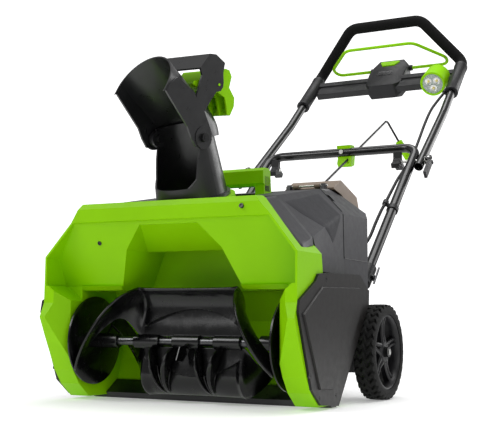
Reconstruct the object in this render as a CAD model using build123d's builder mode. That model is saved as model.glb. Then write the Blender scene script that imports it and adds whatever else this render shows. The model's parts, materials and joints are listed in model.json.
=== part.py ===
from build123d import *
import math
import os

# Cordless single-stage snow thrower, 508 mm (20 in) clearing width.
# X is across the machine, -Y is the front (auger mouth), +Y the operator, +Z up.
# The origin is on the ground, in the middle of the scraper bar's front edge.

# ---------------------------------------------------------------- driving sizes
CLEAR_HALF = 254.0          # half of the clearing width
HOOD_HALF = 259.0           # outside of the hood's side walls
WALL = 4.0                  # moulded wall of the hood
COVER_WALL = 3.5            # moulded wall of the grey covers
CHEEK_HALF = 238.0          # where the side pods start
MOUTH_HALF = 216.0          # inside face of the auger cheeks
GAP = 0.5                   # gap between neighbouring mouldings
RUN = 0.05                  # radial clearance of a running fit

AUGER_Y, AUGER_Z = -60.0, 112.0
AUGER_R = 104.0             # radius swept by the middle paddles
FLIGHT_R = 82.0             # radius swept by the end flights
AUGER_SHAFT_R = 8.0

WHEEL_Y, WHEEL_R = 218.0, 92.0
WHEEL_IN, WHEEL_OUT = 246.0, 288.0
RIM_R = 72.0
AXLE_R = 6.0

CHUTE_LEAN = math.radians(20)    # the chute leans forward, square to the deck seat
CHUTE_YAW = math.radians(-16)    # the chute at rest is turned to the operator's right
CHUTE_Y, CHUTE_Z = -51.0, 380.0
TUBE_R_LOW, TUBE_R_TOP = 66.5, 58.0
TUBE_WALL = 3.5
SEAT_R = 80.0
PIVOT_BACK, PIVOT_UP = -12.0, 111.0   # deflector pivot in the chute's own frame
DEFLECT_ELEV = math.radians(52.6)     # the deflector's channel above the chute's cross plane
CHANNEL_R = 66.0            # outer half width of the deflector channel
CHANNEL_MID = 14.0          # centre of the channel's round back, from the pivot

TUBE_R = 11.0               # handle tubes, 22 mm
TUBE_BORE = 9.4
FOLD_Y, FOLD_Z = 645.0, 531.0
GRIP_R = 15.5
CABLE_R = 3.6
GLAND = (166, 334, 309)             # where the power cable leaves the rear cover
CABLE_BOOT = (198, 927, 755)        # where it enters the control box
CABLE_LAST = (193, 884, 726)        # the corner of its route before that
CABLE_END_DIR = (Vector(*CABLE_BOOT) - Vector(*CABLE_LAST)).normalized()
CAM_R = 3.9                 # through bolt of the cam clamps

BODY_HALF = 236.0           # grey body at its belt
SEAM_Y = 113.0              # seam between front and rear cover
os.makedirs("parts", exist_ok=True)


# ---------------------------------------------------------------- shared helpers
def save(part, name):
    """Label a finished piece and write it as its own STEP file."""
    part.label = name
    export_step(part, f"parts/{name}.step")


def side_prism(points, x_low, x_high):
    """A solid from a side outline of (y, z) points, between two X planes."""
    with BuildPart(mode=Mode.PRIVATE) as prism:
        with BuildSketch(Plane.YZ.offset(x_low)):
            with BuildLine():
                Polyline(*points, close=True)
            make_face()
        extrude(amount=x_high - x_low)
    return prism.part


def front_prism(points, y_low, y_high):
    """A solid from a front outline of (x, z) points, between two Y planes."""
    with BuildPart(mode=Mode.PRIVATE) as prism:
        with BuildSketch(Plane.XZ.offset(-y_low)):
            with BuildLine():
                Polyline(*points, close=True)
            make_face()
        extrude(amount=-(y_high - y_low))
    return prism.part


def plan_prism(points, z_low, z_high):
    """A solid from a plan outline of (x, y) points, between two Z planes."""
    with BuildPart(mode=Mode.PRIVATE) as prism:
        with BuildSketch(Plane.XY.offset(z_low)):
            with BuildLine():
                Polyline(*points, close=True)
            make_face()
        extrude(amount=z_high - z_low)
    return prism.part


def common(first, *others):
    """The volume that several solids share."""
    with BuildPart(mode=Mode.PRIVATE) as shared:
        add(first)
        for other in others:
            add(other, mode=Mode.INTERSECT)
    return shared.part


def box_between(low, high):
    """A block given by its lowest and highest corners."""
    size = [b - a for a, b in zip(low, high)]
    middle = [(a + b) / 2 for a, b in zip(low, high)]
    return Pos(*middle) * Box(*size, mode=Mode.PRIVATE)


def rod(start, end, radius, bore=0.0):
    """A round bar or tube from one point to another."""
    a, b = Vector(*start), Vector(*end)
    plane = Plane(origin=a, z_dir=b - a)
    with BuildPart(mode=Mode.PRIVATE) as bar:
        with BuildSketch(plane):
            Circle(radius)
            if bore:
                Circle(bore, mode=Mode.SUBTRACT)
        extrude(amount=(b - a).length)
    return bar.part


def x_rod(y, z, x_low, x_high, radius, bore=0.0):
    """A round bar along X."""
    return rod((x_low, y, z), (x_high, y, z), radius, bore)


def both_sides(points):
    """Close a right-hand outline of (x, z) points with its mirror image."""
    return points + [(-x, z) for x, z in reversed(points)]


def bent_tube(points, radii, radius, bore=0.0):
    """A tube along straight runs joined by tangent arcs."""
    with BuildPart(mode=Mode.PRIVATE) as tube:
        with BuildLine() as path:
            FilletPolyline(*points, radius=radii)
        start = path.wires()[0]
        with BuildSketch(Plane(origin=start @ 0, z_dir=start % 0)):
            Circle(radius)
            if bore:
                Circle(bore, mode=Mode.SUBTRACT)
        sweep(path=start)
    return tube.part


def mirrored(points):
    """A left-right path from its right half, given from the low end to the middle."""
    return points + [(-x, y, z) for x, y, z in reversed(points)]


# ---------------------------------------------------------------- hood
MOUTH = [(-62, 6), (-94, 31), (-114, 58), (-147, 124), (-162, 156), (-150, 182), (-149, 267)]
LIP = [(-142, 330), (-148, 353), (-144, 363)]
REAR_EDGE = [(-112, 366), (-88, 351), (-64, 307), (-50, 278), (-43, 236)]
OUTLINE = [(HOOD_HALF, 2), (HOOD_HALF, 267), (180, 362), (150, 400)]
COVER_EDGE = [(-71, 232), (-36, 235), (124, 238), (166, 211), (171, 182), (158, 170), (17, 3),
              (-63, 10), (-101, 38), (-154, 165), (-150, 186), (-84, 219)]
DECK_HALF = 112.0
DECK_BACK = 76.0
LEAN_AXIS = Vector(0, -math.sin(CHUTE_LEAN), math.cos(CHUTE_LEAN))
SEAT = Plane(origin=(0, CHUTE_Y, CHUTE_Z), x_dir=(1, 0, 0), z_dir=LEAN_AXIS)

hood_side = side_prism(MOUTH + LIP + REAR_EDGE + [(-43, 214), (56, 210), (56, 6)], -HOOD_HALF, HOOD_HALF)
hood_outline = front_prism(both_sides(OUTLINE), -180, DECK_BACK)
deck = side_prism([(-144, 363), (-60, 372), (DECK_BACK, 388), (DECK_BACK, 340), (-130, 340)],
                  -DECK_HALF, DECK_HALF)
inner_outline = [(HOOD_HALF - WALL, 214), (HOOD_HALF - WALL, 265), (178, 358), (148, 394)]
front_chamber = side_prism([(-230, 214), (-88, 214), (-135, 322), (-138, 328), (-144, 331), (-230, 331)],
                           -HOOD_HALF, HOOD_HALF)
upper_mouth = front_prism(both_sides(inner_outline), -240, 120)
lower_mouth = side_prism([(-230, -5), (34, -5), (34, 36), (45, 72), (49, 112), (45, 150),
                          (30, 185), (20, 206), (-86, 206), (-95, 215), (-230, 215)],
                         -MOUTH_HALF, MOUTH_HALF)
rear_chamber = side_prism([(-82, 211), (-129, 321), (-134, 327), (-140, 352), (-112, 361), (-60, 367),
                           (DECK_BACK + 9, 383), (DECK_BACK + 9, 0), (38.5, 0), (38.5, 36), (49.5, 71),
                           (53.5, 112), (49.5, 152), (34, 188), (23, 211)],
                          -CHEEK_HALF + WALL, CHEEK_HALF - WALL)
rear_outline = front_prism(both_sides([(HOOD_HALF, 0), (HOOD_HALF, 265), (176, 357), (144, 390)]), -240, 120)

# The discharge duct rises from a wide slot over the auger to the round chute seat.
DUCT = [(128, 206), (99, 279), (64, 330), (64, 366)]
duct_room = front_prism(both_sides(DUCT), -44, 16)
duct_walls = front_prism(both_sides([(x + WALL, z) for x, z in DUCT]), -44 - WALL, 16 + WALL)
throat = front_prism(both_sides([(128, 205), (99, 279)]), -118, 16)
throat_walls = common(front_prism(both_sides([(132, 206), (102, 283), (66, 330)]), -150, 20), rear_chamber)
ramp_recess = front_prism(both_sides([(99, 279), (60, 322)]), -150, -30)
ramp_wedge = side_prism([(-140, 326), (-46, 279), (-160, 279)], -110, 110)
seat_boss = rod(SEAT.origin - LEAN_AXIS * 36, SEAT.origin - LEAN_AXIS * 4, SEAT_R)
seat_sky = rod(SEAT.origin - LEAN_AXIS * 4, SEAT.origin + LEAN_AXIS * 60, SEAT_R)
seat_bore = rod(SEAT.origin - LEAN_AXIS * 58, SEAT.origin, 62.5)
seat_bearing = rod(SEAT.origin - LEAN_AXIS * 24, SEAT.origin, 68)
gear_room = rod(SEAT.origin - LEAN_AXIS * 39, SEAT.origin - LEAN_AXIS * 20, 77.5)
pinion_door = box_between((-16, 20.5, 343), (16, 44, 380))

MOTOR_Y, MOTOR_Z = 110.0, 165.0
MOTOR_SHAFT_HOLE = x_rod(MOTOR_Y, MOTOR_Z, 225, HOOD_HALF, 7)
POD = [(-60, 222), (118, 225), (154, 205), (158, 182), (146, 168), (14, 16), (-56, 20), (-88, 46),
       (-138, 160), (-136, 184), (-78, 212)]
CHEEK_ROOM = [(-70, 196), (16, 196), (28, 180), (36, 150), (40, 112), (36, 76), (26, 40), (-46, 34),
              (-74, 56), (-112, 150), (-108, 172), (-86, 177)]
with BuildPart() as auger_housing:
    add(hood_side)
    add(hood_outline, mode=Mode.INTERSECT)
    add(deck)
    add(common(front_chamber, upper_mouth), mode=Mode.SUBTRACT)
    add(lower_mouth, mode=Mode.SUBTRACT)
    add(common(rear_chamber, rear_outline), mode=Mode.SUBTRACT)
    add(duct_walls)
    add(throat_walls)
    add(seat_boss)
    add(seat_sky, mode=Mode.SUBTRACT)
    add(duct_room, mode=Mode.SUBTRACT)
    add(throat, mode=Mode.SUBTRACT)
    add(common(ramp_recess, ramp_wedge), mode=Mode.SUBTRACT)
    add(seat_bore, mode=Mode.SUBTRACT)
    add(seat_bearing, mode=Mode.SUBTRACT)
    add(gear_room, mode=Mode.SUBTRACT)
    add(pinion_door, mode=Mode.SUBTRACT)
    for side in (1, -1):
        inner = side * (MOUTH_HALF - 1)
        shoulder = front_prism([(inner, 186), (side * 252, 216), (inner, 216)], -240, -90)
        funnel = plan_prism([(inner, -124), (side * 250, -165), (inner, -240)], 6, 214)
        heel = side_prism([(12, -1), (70, -1), (70, 68)], *sorted((side * CHEEK_HALF, side * 270)))
        pod = side_prism(POD, *sorted((side * CHEEK_HALF, side * HOOD_HALF)))
        cheek_room = side_prism(CHEEK_ROOM, *sorted((side * (MOUTH_HALF + WALL), side * (CHEEK_HALF + 5))))
        room = side_prism([(-52, 214), (112, 216), (144, 190), (140, 170), (12, 26), (-50, 28),
                           (-80, 50), (-128, 160), (-126, 180), (-74, 204)],
                          *sorted((side * (CHEEK_HALF + WALL), side * (HOOD_HALF + 1))))
        add(shoulder, mode=Mode.SUBTRACT)
        add(funnel, mode=Mode.SUBTRACT)
        add(heel, mode=Mode.SUBTRACT)
        add(pod)
        add(room, mode=Mode.SUBTRACT)
        add(cheek_room, mode=Mode.SUBTRACT)
        add(x_rod(AUGER_Y, AUGER_Z, side * MOUTH_HALF, side * (MOUTH_HALF + 12), 22))
        add(x_rod(AUGER_Y, AUGER_Z, side * (MOUTH_HALF - 1), side * (MOUTH_HALF + 13), 16),
            mode=Mode.SUBTRACT)
    add(MOTOR_SHAFT_HOLE, mode=Mode.SUBTRACT)
save(auger_housing.part, "auger_housing")

# ---------------------------------------------------------------- scraper bar
with BuildPart() as scraper_bar:
    add(side_prism([(0, 0), (30, 0), (33, 20), (28, 34), (-7, 11), (-2, 4)], -MOUTH_HALF + GAP, MOUTH_HALF - GAP))
    add(plan_prism([(-CLEAR_HALF, 6), (-CLEAR_HALF + 8, 0), (CLEAR_HALF - 8, 0), (CLEAR_HALF, 6),
                    (CLEAR_HALF, 30), (-CLEAR_HALF, 30)], 0, 5.5))
save(scraper_bar.part, "scraper_bar")

# ---------------------------------------------------------------- side covers
COVER_OUT = HOOD_HALF + 7.0
COVER_RIDGE = [(-58, 210), (119, 213), (134, 200), (124, 172), (18, 45), (-14, 33), (-71, 36), (-138, 163)]
COVER_SCREWS = [(-40, 224), (-143, 163), (-109, 61), (-71, 22), (2, 22)]


def side_cover(side):
    """Screwed cover with a raised middle field, hollow behind the field."""
    face = side * HOOD_HALF
    with BuildPart(mode=Mode.PRIVATE) as cover:
        add(side_prism(COVER_EDGE, *sorted((face + side * 0.3, face + side * 5.0))))
        with BuildSketch(Plane.YZ.offset(face + side * 5.0)):
            with BuildLine():
                Polyline(*COVER_RIDGE, close=True)
            make_face()
        extrude(amount=side * 3.0, taper=20 * side)
        with BuildSketch(Plane.YZ.offset(face + side * 0.3)):
            with BuildLine():
                Polyline(*[(y * 0.92 - 1, (z - 120) * 0.92 + 120) for y, z in COVER_RIDGE], close=True)
            make_face()
        extrude(amount=side * 3.2, mode=Mode.SUBTRACT)
        for y, z in COVER_SCREWS:
            add(x_rod(y, z, face, face + side * 9, 2.2), mode=Mode.SUBTRACT)
            add(x_rod(y, z, face + side * 3.0, face + side * 9, 4.6), mode=Mode.SUBTRACT)
    return cover.part


def cover_screws(side):
    """Five pan head screws, sunk in the cover."""
    face = side * HOOD_HALF
    with BuildPart(mode=Mode.PRIVATE) as screws:
        for y, z in COVER_SCREWS:
            add(x_rod(y, z, face + side * 0.4, face + side * 3.0, 2.1))
            add(x_rod(y, z, face + side * 3.0, face + side * 4.8, 4.0))
            add(x_rod(y, z, face + side * 4.0, face + side * 4.9, 1.8), mode=Mode.SUBTRACT)
    return screws.part


save(side_cover(1), "drive_side_cover")
save(side_cover(-1), "idle_side_cover")
screws_right, screws_left = cover_screws(1), cover_screws(-1)
with BuildPart() as cover_screw_set:
    add(screws_right)
    add(screws_left)
save(cover_screw_set.part, "side_cover_screws")

# ---------------------------------------------------------------- grey body covers
FRONT_A = [(HOOD_HALF - 3, 238), (HOOD_HALF - 3, 266), (252, 274), (177, 361)]
FRONT_B = [(BODY_HALF, 238), (BODY_HALF, 268), (234, 355), (187, 403)]


def loft_between(section_a, y_a, section_b, y_b):
    """Ruled solid between two front outlines."""
    with BuildPart(mode=Mode.PRIVATE) as body:
        for section, y in ((section_a, y_a), (section_b, y_b)):
            with BuildSketch(Plane.XZ.offset(-y)):
                with BuildLine():
                    Polyline(*both_sides(section), close=True)
                make_face()
        loft(ruled=True)
    return body.part


def inset(section, wall):
    """Move a right-hand outline inwards by a wall."""
    return [(x - wall, z - wall * 0.9) for x, z in section]


hood_keep_out = side_prism(MOUTH + [(-300, 300), (-300, 420), (-112 + GAP, 420), (-112 + GAP, 366)]
                           + [(y + GAP, z) for y, z in REAR_EDGE[1:]] + [(-43 + GAP, 200), (-43, 0)],
                           -300, 300)
BELT_PLAN = [(BODY_HALF, SEAM_Y - 1), (BODY_HALF, 240), (214, 256), (-214, 256), (-BODY_HALF, 240),
             (-BODY_HALF, SEAM_Y - 1)]
BELT_ROOM = [(BODY_HALF - COVER_WALL, -130), (BODY_HALF - COVER_WALL, 239), (213, 252), (-213, 252),
             (-BODY_HALF + COVER_WALL, 239), (-BODY_HALF + COVER_WALL, -130)]
with BuildPart() as front_cover:
    add(loft_between(FRONT_A, -125, FRONT_B, SEAM_Y))
    add(plan_prism(BELT_PLAN, 214, 268))
    add(loft_between(inset(FRONT_A, COVER_WALL), -126, inset(FRONT_B, COVER_WALL), SEAM_Y + 1),
        mode=Mode.SUBTRACT)
    add(plan_prism(BELT_ROOM, 205, 240), mode=Mode.SUBTRACT)
    add(plan_prism([(190, SEAM_Y), (228, SEAM_Y), (228, 232), (206, 246), (-206, 246), (-228, 232),
                    (-228, SEAM_Y)], 230, 270), mode=Mode.SUBTRACT)
    add(hood_keep_out, mode=Mode.SUBTRACT)
    add(box_between((-DECK_HALF - GAP, -130, 330), (DECK_HALF + GAP, DECK_BACK + GAP, 420)),
        mode=Mode.SUBTRACT)
    add(box_between((-205, -130, 300), (205, -70, 420)), mode=Mode.SUBTRACT)
save(front_cover.part, "front_cover")

# Rear cover: closes the battery side, narrows towards the operator.
REAR_SIDE = [(SEAM_Y + GAP, 268.5), (SEAM_Y + GAP, 403), (165, 409), (217, 400), (331, 337), (328, 300),
             (308, 268.5)]
REAR_PLAN = [(BODY_HALF, SEAM_Y), (BODY_HALF, 240), (190, 332)]
REAR_FRONT = [(BODY_HALF, 268), (234, 355), (187, 403), (180, 420)]
BAY_LOW, BAY_HIGH = (94, 200, 272.5), (180, 300, 346)


def rear_form(shrink):
    """The rear cover's envelope, moved inwards by a wall."""
    side = [(y - shrink * (1 if y > 150 else -1), z - shrink * (1.15 if z > 330 else -1)) for y, z in REAR_SIDE]
    plan = [(x - shrink, y - (shrink if y > 300 else 0)) for x, y in REAR_PLAN]
    front = [(x - shrink, z) for x, z in REAR_FRONT]
    return common(side_prism(side, -300, 300), plan_prism(both_sides(plan), 200, 500),
                  front_prism(both_sides(front), 0, 400))


CRANK_BRACKET = Vector(17, 690, 554)
CRANK_DIR = Vector(19, 240, 140).normalized()
CRANK_JOINT = CRANK_BRACKET + CRANK_DIR * ((300 - 690) / CRANK_DIR.Y)
CRANK_BEND = CRANK_BRACKET + CRANK_DIR * ((930 - 690) / CRANK_DIR.Y)
CRANK_ARM = Vector(0.347, 0.459, -0.816).normalized()
CRANK_R = 2.9
rear_room = rear_form(COVER_WALL) + box_between((-210, SEAM_Y - 5, 272), (210, SEAM_Y + 20, 392))
with BuildPart() as rear_cover:
    add(rear_form(0))
    add(rear_room, mode=Mode.SUBTRACT)
    add(box_between((-222, 130, 260), (222, 246, 273)), mode=Mode.SUBTRACT)
    add(box_between((BAY_LOW[0] - 1, BAY_LOW[1] - 1, 300), (BAY_HIGH[0] + 1, BAY_HIGH[1] + 1, 450)),
        mode=Mode.SUBTRACT)
    add(rod(CRANK_JOINT, CRANK_JOINT + CRANK_DIR * 60, 8), mode=Mode.SUBTRACT)
    add(rod((GLAND[0], 315, GLAND[2]), GLAND, 8), mode=Mode.SUBTRACT)
    for x in (98, 172):
        add(side_prism([(158, 408), (174, 408), (173, 421), (163, 421)], x - 4, x + 4))
        add(x_rod(168, 417, x - 5, x + 5, 2.05), mode=Mode.SUBTRACT)
save(rear_cover.part, "rear_cover")

with BuildPart() as battery_bay:
    add(box_between(BAY_LOW, BAY_HIGH))
    add(box_between((BAY_LOW[0] + 2.5, BAY_LOW[1] + 2.5, BAY_LOW[2] + 3),
                    (BAY_HIGH[0] - 2.5, BAY_HIGH[1] - 2.5, 400)), mode=Mode.SUBTRACT)
save(battery_bay.part, "battery_bay")

with BuildPart() as battery_pack:
    add(box_between((97.5, 203.5, 276), (176.5, 296.5, 382)))
    fillet(battery_pack.edges().filter_by(Axis.Z), 8)
    add(box_between((112, 214, 382), (162, 274, 396)))
    add(box_between((105, 228, 385), (170, 262, 391)), mode=Mode.SUBTRACT)
save(battery_pack.part, "battery_pack")

LID_OUT = [(175, 413.5), (213, 432), (301, 407), (332.5, 344), (331, 339), (218, 402.5), (176, 410.5)]
LID_IN = [(183, 405), (183, 413.5), (214, 428.3), (298.5, 403.5), (328.5, 343), (326, 330), (218, 390)]
LID_HINGE_Y, LID_HINGE_Z = 168.0, 417.0
with BuildPart() as battery_lid:
    add(side_prism(LID_OUT, 84, 190))
    add(side_prism(LID_IN, 87, 187), mode=Mode.SUBTRACT)
    for x in (112, 158):
        add(x_rod(LID_HINGE_Y, LID_HINGE_Z, x - 6, x + 6, 4.5))
        add(box_between((x - 6, LID_HINGE_Y, 414.5), (x + 6, 180, 417.5)))
        add(x_rod(LID_HINGE_Y, LID_HINGE_Z, x - 7, x + 7, 2.1), mode=Mode.SUBTRACT)
save(battery_lid.part, "battery_lid")
save(x_rod(LID_HINGE_Y, LID_HINGE_Z, 90, 180, 2.0), "lid_hinge_pin")

# ---------------------------------------------------------------- chassis and drive
BASE_SIDE = [(57, 212), (57, 60), (190, 52), (238, 72), (246, 120), (254, 213)]
BASE_ROOM = [(61, 216), (61, 64), (189, 56.5), (234.5, 75), (242, 120), (250, 216)]
with BuildPart() as chassis_base:
    add(side_prism(BASE_SIDE, -234, 234))
    add(side_prism(BASE_ROOM, -230, 230), mode=Mode.SUBTRACT)
    for x_low, x_high in ((-234, -214), (214, 234)):
        add(x_rod(WHEEL_Y, WHEEL_R, x_low, x_high, 14))
    add(x_rod(WHEEL_Y, WHEEL_R, -240, 240, AXLE_R + RUN), mode=Mode.SUBTRACT)
    add(x_rod(MOTOR_Y, MOTOR_Z, 225, 240, 7), mode=Mode.SUBTRACT)
save(chassis_base.part, "chassis_base")

with BuildPart() as motor_housing:
    add(x_rod(MOTOR_Y, MOTOR_Z, 146, 216, 42))
    add(x_rod(MOTOR_Y, MOTOR_Z, 150, 212, 38.5), mode=Mode.SUBTRACT)
    add(x_rod(MOTOR_Y, MOTOR_Z, 140, 220, 5 + RUN), mode=Mode.SUBTRACT)
save(motor_housing.part, "motor_housing")
save(x_rod(MOTOR_Y, MOTOR_Z, 156, 206, 38.3, 28.8), "motor_stator")
with BuildPart() as motor_rotor:
    add(x_rod(MOTOR_Y, MOTOR_Z, 158, 204, 28))
    add(x_rod(MOTOR_Y, MOTOR_Z, 148, 258.5, 5))
save(motor_rotor.part, "motor_rotor")

PULLEY_LOW, PULLEY_HIGH = 251.5, 258.5
MOTOR_PULLEY_R, AUGER_PULLEY_R = 12.0, 38.0


def pulley(y, z, radius, bore):
    """A ribbed belt pulley with two flanges."""
    with BuildPart(mode=Mode.PRIVATE) as wheel:
        add(x_rod(y, z, PULLEY_LOW, PULLEY_HIGH, radius, bore))
        for x in (PULLEY_LOW, PULLEY_HIGH - 0.8):
            add(x_rod(y, z, x, x + 0.8, radius + 2.2, bore))
    return wheel.part


save(pulley(MOTOR_Y, MOTOR_Z, MOTOR_PULLEY_R, 5), "motor_pulley")
save(pulley(AUGER_Y, AUGER_Z, AUGER_PULLEY_R, AUGER_SHAFT_R), "auger_pulley")

BELT_GAP = 0.3
with BuildPart() as drive_belt:
    for layer, mode in ((1.7, Mode.ADD), (0.0, Mode.SUBTRACT)):
        with BuildSketch(Plane.YZ.offset(PULLEY_LOW + 1.0)):
            with Locations((MOTOR_Y, MOTOR_Z)):
                Circle(MOTOR_PULLEY_R + BELT_GAP + layer)
            with Locations((AUGER_Y, AUGER_Z)):
                Circle(AUGER_PULLEY_R + BELT_GAP + layer)
            make_hull()
        extrude(amount=PULLEY_HIGH - PULLEY_LOW - 2.0, mode=mode)
save(drive_belt.part, "drive_belt")

with BuildPart() as motor_controller:
    add(box_between((-130, 150, 150), (-40, 225, 168)))
    for i in range(9):
        add(box_between((-126 + i * 10, 154, 168), (-122 + i * 10, 221, 182)))
save(motor_controller.part, "motor_controller")

# ---------------------------------------------------------------- auger
SHAFT_END = HOOD_HALF + 1.5
save(x_rod(AUGER_Y, AUGER_Z, -230, SHAFT_END, AUGER_SHAFT_R), "auger_shaft")
with BuildPart() as auger_bearings:
    for low in (-227.5, 217.5):
        add(x_rod(AUGER_Y, AUGER_Z, low, low + 10, 16 - RUN, AUGER_SHAFT_R + RUN))
save(auger_bearings.part, "auger_bearings")

PADDLE_HALF = 112.0
FLIGHT_X, FLIGHT_TILT = 178.0, math.radians(20)
PADDLE_T = 4.0


def auger_half():
    """Upper half of the auger: a wide curved paddle, half a hub and two end flights."""
    with BuildPart(mode=Mode.PRIVATE) as half:
        with BuildSketch(Plane.YZ.offset(-PADDLE_HALF)):
            with BuildLine():
                outer = ThreePointArc((0, 8.6), (-58, 42), (-76, AUGER_R - 33))
                tip = Line(outer @ 1, (-72, 70))
                inner = ThreePointArc(tip @ 1, (-54, 44), (0, 13))
                Line(inner @ 1, outer @ 0)
            make_face()
        extrude(amount=2 * PADDLE_HALF)
        add(x_rod(0, 0, -212, 212, 13.5, AUGER_SHAFT_R + 0.3))
        for side in (1, -1):
            tilt = Vector(math.cos(FLIGHT_TILT), side * math.sin(FLIGHT_TILT), 0)
            centre = Vector(side * FLIGHT_X, 0, 0)
            add(rod(centre - tilt * PADDLE_T / 2, centre + tilt * PADDLE_T / 2, FLIGHT_R - 2, 13))
            add(side_prism([(-10, 12), (-76, 30), (-76, 58), (-40, 60), (0, 20)],
                           *sorted((side * PADDLE_HALF, side * (PADDLE_HALF - PADDLE_T)))))
        add(box_between((-260, -120, -120), (260, 120, 0.2)), mode=Mode.SUBTRACT)
    return half.part


upper_half = auger_half()
AUGER_AT = Location((0, AUGER_Y, AUGER_Z))
save(AUGER_AT * upper_half, "auger_paddle_upper")
save(AUGER_AT * Rot(180, 0, 0) * upper_half, "auger_paddle_lower")

# ---------------------------------------------------------------- wheels
save(x_rod(WHEEL_Y, WHEEL_R, -289, 289, AXLE_R), "axle")
SPOKES = 5


def wheel_rim(side):
    """Five spoke rim with a deep hub."""
    with BuildPart(mode=Mode.PRIVATE) as rim:
        low, high = sorted((side * (WHEEL_IN + 3), side * (WHEEL_OUT - 3)))
        add(x_rod(0, 0, low, high, RIM_R, RIM_R - 7))
        hub_low, hub_high = sorted((side * (WHEEL_IN + 1), side * (WHEEL_OUT - 10)))
        add(x_rod(0, 0, hub_low, hub_high, 17))
        for spoke in range(SPOKES):
            arm = side_prism([(12, -9), (RIM_R - 5, -5), (RIM_R - 5, 5), (12, 9)],
                             *sorted((side * (WHEEL_OUT - 26), side * (WHEEL_OUT - 12))))
            add(Rot(spoke * 360 / SPOKES + 18, 0, 0) * arm)
        add(x_rod(0, 0, low - 9, high + 9, AXLE_R + RUN), mode=Mode.SUBTRACT)
    return Location((0, WHEEL_Y, WHEEL_R)) * rim.part


def tyre(side):
    """Rubber tyre with rounded shoulders and cross grooves."""
    low, high = sorted((side * WHEEL_IN, side * WHEEL_OUT))
    with BuildPart(mode=Mode.PRIVATE) as ring:
        with BuildSketch(Plane.XY):
            with BuildLine():
                Polyline((low + 2, RIM_R), (low, RIM_R + 8), (low + 3, WHEEL_R - 3), (low + 8, WHEEL_R),
                         (high - 8, WHEEL_R), (high - 3, WHEEL_R - 3), (high, RIM_R + 8),
                         (high - 2, RIM_R), close=True)
            make_face()
        revolve(axis=Axis.X)
    return Location((0, WHEEL_Y, WHEEL_R)) * ring.part


for side, name in ((1, "left"), (-1, "right")):
    save(wheel_rim(side), f"wheel_rim_{name}")
    save(tyre(side), f"tyre_{name}")
with BuildPart() as axle_nuts:
    for low in (-287, 279):
        add(x_rod(WHEEL_Y, WHEEL_R, low, low + 8, 10, AXLE_R))
save(axle_nuts.part, "axle_nuts")

# ---------------------------------------------------------------- chute and deflector
# The chute's own frame: x across, y to its back, z up its axis; the deflector pivots on x.
CHUTE = Location(SEAT) * Rot(0, 0, math.degrees(CHUTE_YAW))
PIVOT = Vector(0, PIVOT_BACK, PIVOT_UP)
ALONG = Vector(0, -math.cos(DEFLECT_ELEV), math.sin(DEFLECT_ELEV))
ABOVE = Vector(0, math.sin(DEFLECT_ELEV), math.cos(DEFLECT_ELEV))
CHANNEL = Plane(origin=PIVOT, x_dir=(1, 0, 0), z_dir=ALONG)


def channel_side(points, x_low, x_high):
    """A solid from an outline of (along, above) points beside the deflector's channel."""
    return side_prism([((PIVOT + ALONG * a + ABOVE * n).Y, (PIVOT + ALONG * a + ABOVE * n).Z)
                       for a, n in points], x_low, x_high)


def pivot_rod(x_low, x_high, radius, bore=0.0):
    """A round bar on the deflector's pivot axis."""
    return x_rod(PIVOT_BACK, PIVOT_UP, x_low, x_high, radius, bore)


with BuildPart() as chute_tube:
    with BuildSketch(Plane.XZ):
        with BuildLine():
            Polyline((62, -22), (67.4, -22), (67.4, -3.5), (72, -3.5), (72, 3), (TUBE_R_LOW, 3),
                     (TUBE_R_TOP, 111), (TUBE_R_TOP - 1, 130), (TUBE_R_TOP - 1 - TUBE_WALL, 130),
                     (TUBE_R_TOP - TUBE_WALL, 111), (TUBE_R_LOW - TUBE_WALL, 3), close=True)
        make_face()
    revolve(axis=Axis.Z)
    add(side_prism([(-90, 26), (-46, 26), (-32, 40), (-22, 75), (-12, 100), (-12, 140), (-90, 140)],
                   -80, 80), mode=Mode.SUBTRACT)
    for low, high in ((50, 60.5), (-60.5, -50)):
        add(pivot_rod(low, high, 15))
    add(pivot_rod(-80, 80, 4.02), mode=Mode.SUBTRACT)
save(CHUTE * chute_tube.part, "chute_tube")

RING_TEETH = 60
with BuildPart() as chute_ring_gear:
    with BuildSketch(Plane.XY.offset(-34)):
        Circle(75.5)
        Circle(62.6, mode=Mode.SUBTRACT)
    extrude(amount=11.5)
    for tooth in range(RING_TEETH):
        add(Rot(0, 0, tooth * 360 / RING_TEETH) * box_between((67, -1.9, -35), (78, 1.9, -31)),
            mode=Mode.SUBTRACT)
save(CHUTE * chute_ring_gear.part, "chute_ring_gear")

LEG_LOW = -14.0
RIM_TOP, RIM_SIDE = 131.0, 119.5


def channel_profile(radius, low):
    """U section of the deflector: straight legs under a round back."""
    with BuildSketch(CHANNEL) as profile:
        with Locations((0, CHANNEL_MID)):
            Circle(radius)
        with Locations((0, (CHANNEL_MID + low) / 2)):
            Rectangle(2 * radius, CHANNEL_MID - low)
        with Locations((0, low - 100)):
            Rectangle(400, 200, mode=Mode.SUBTRACT)
    return profile.sketch


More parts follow.
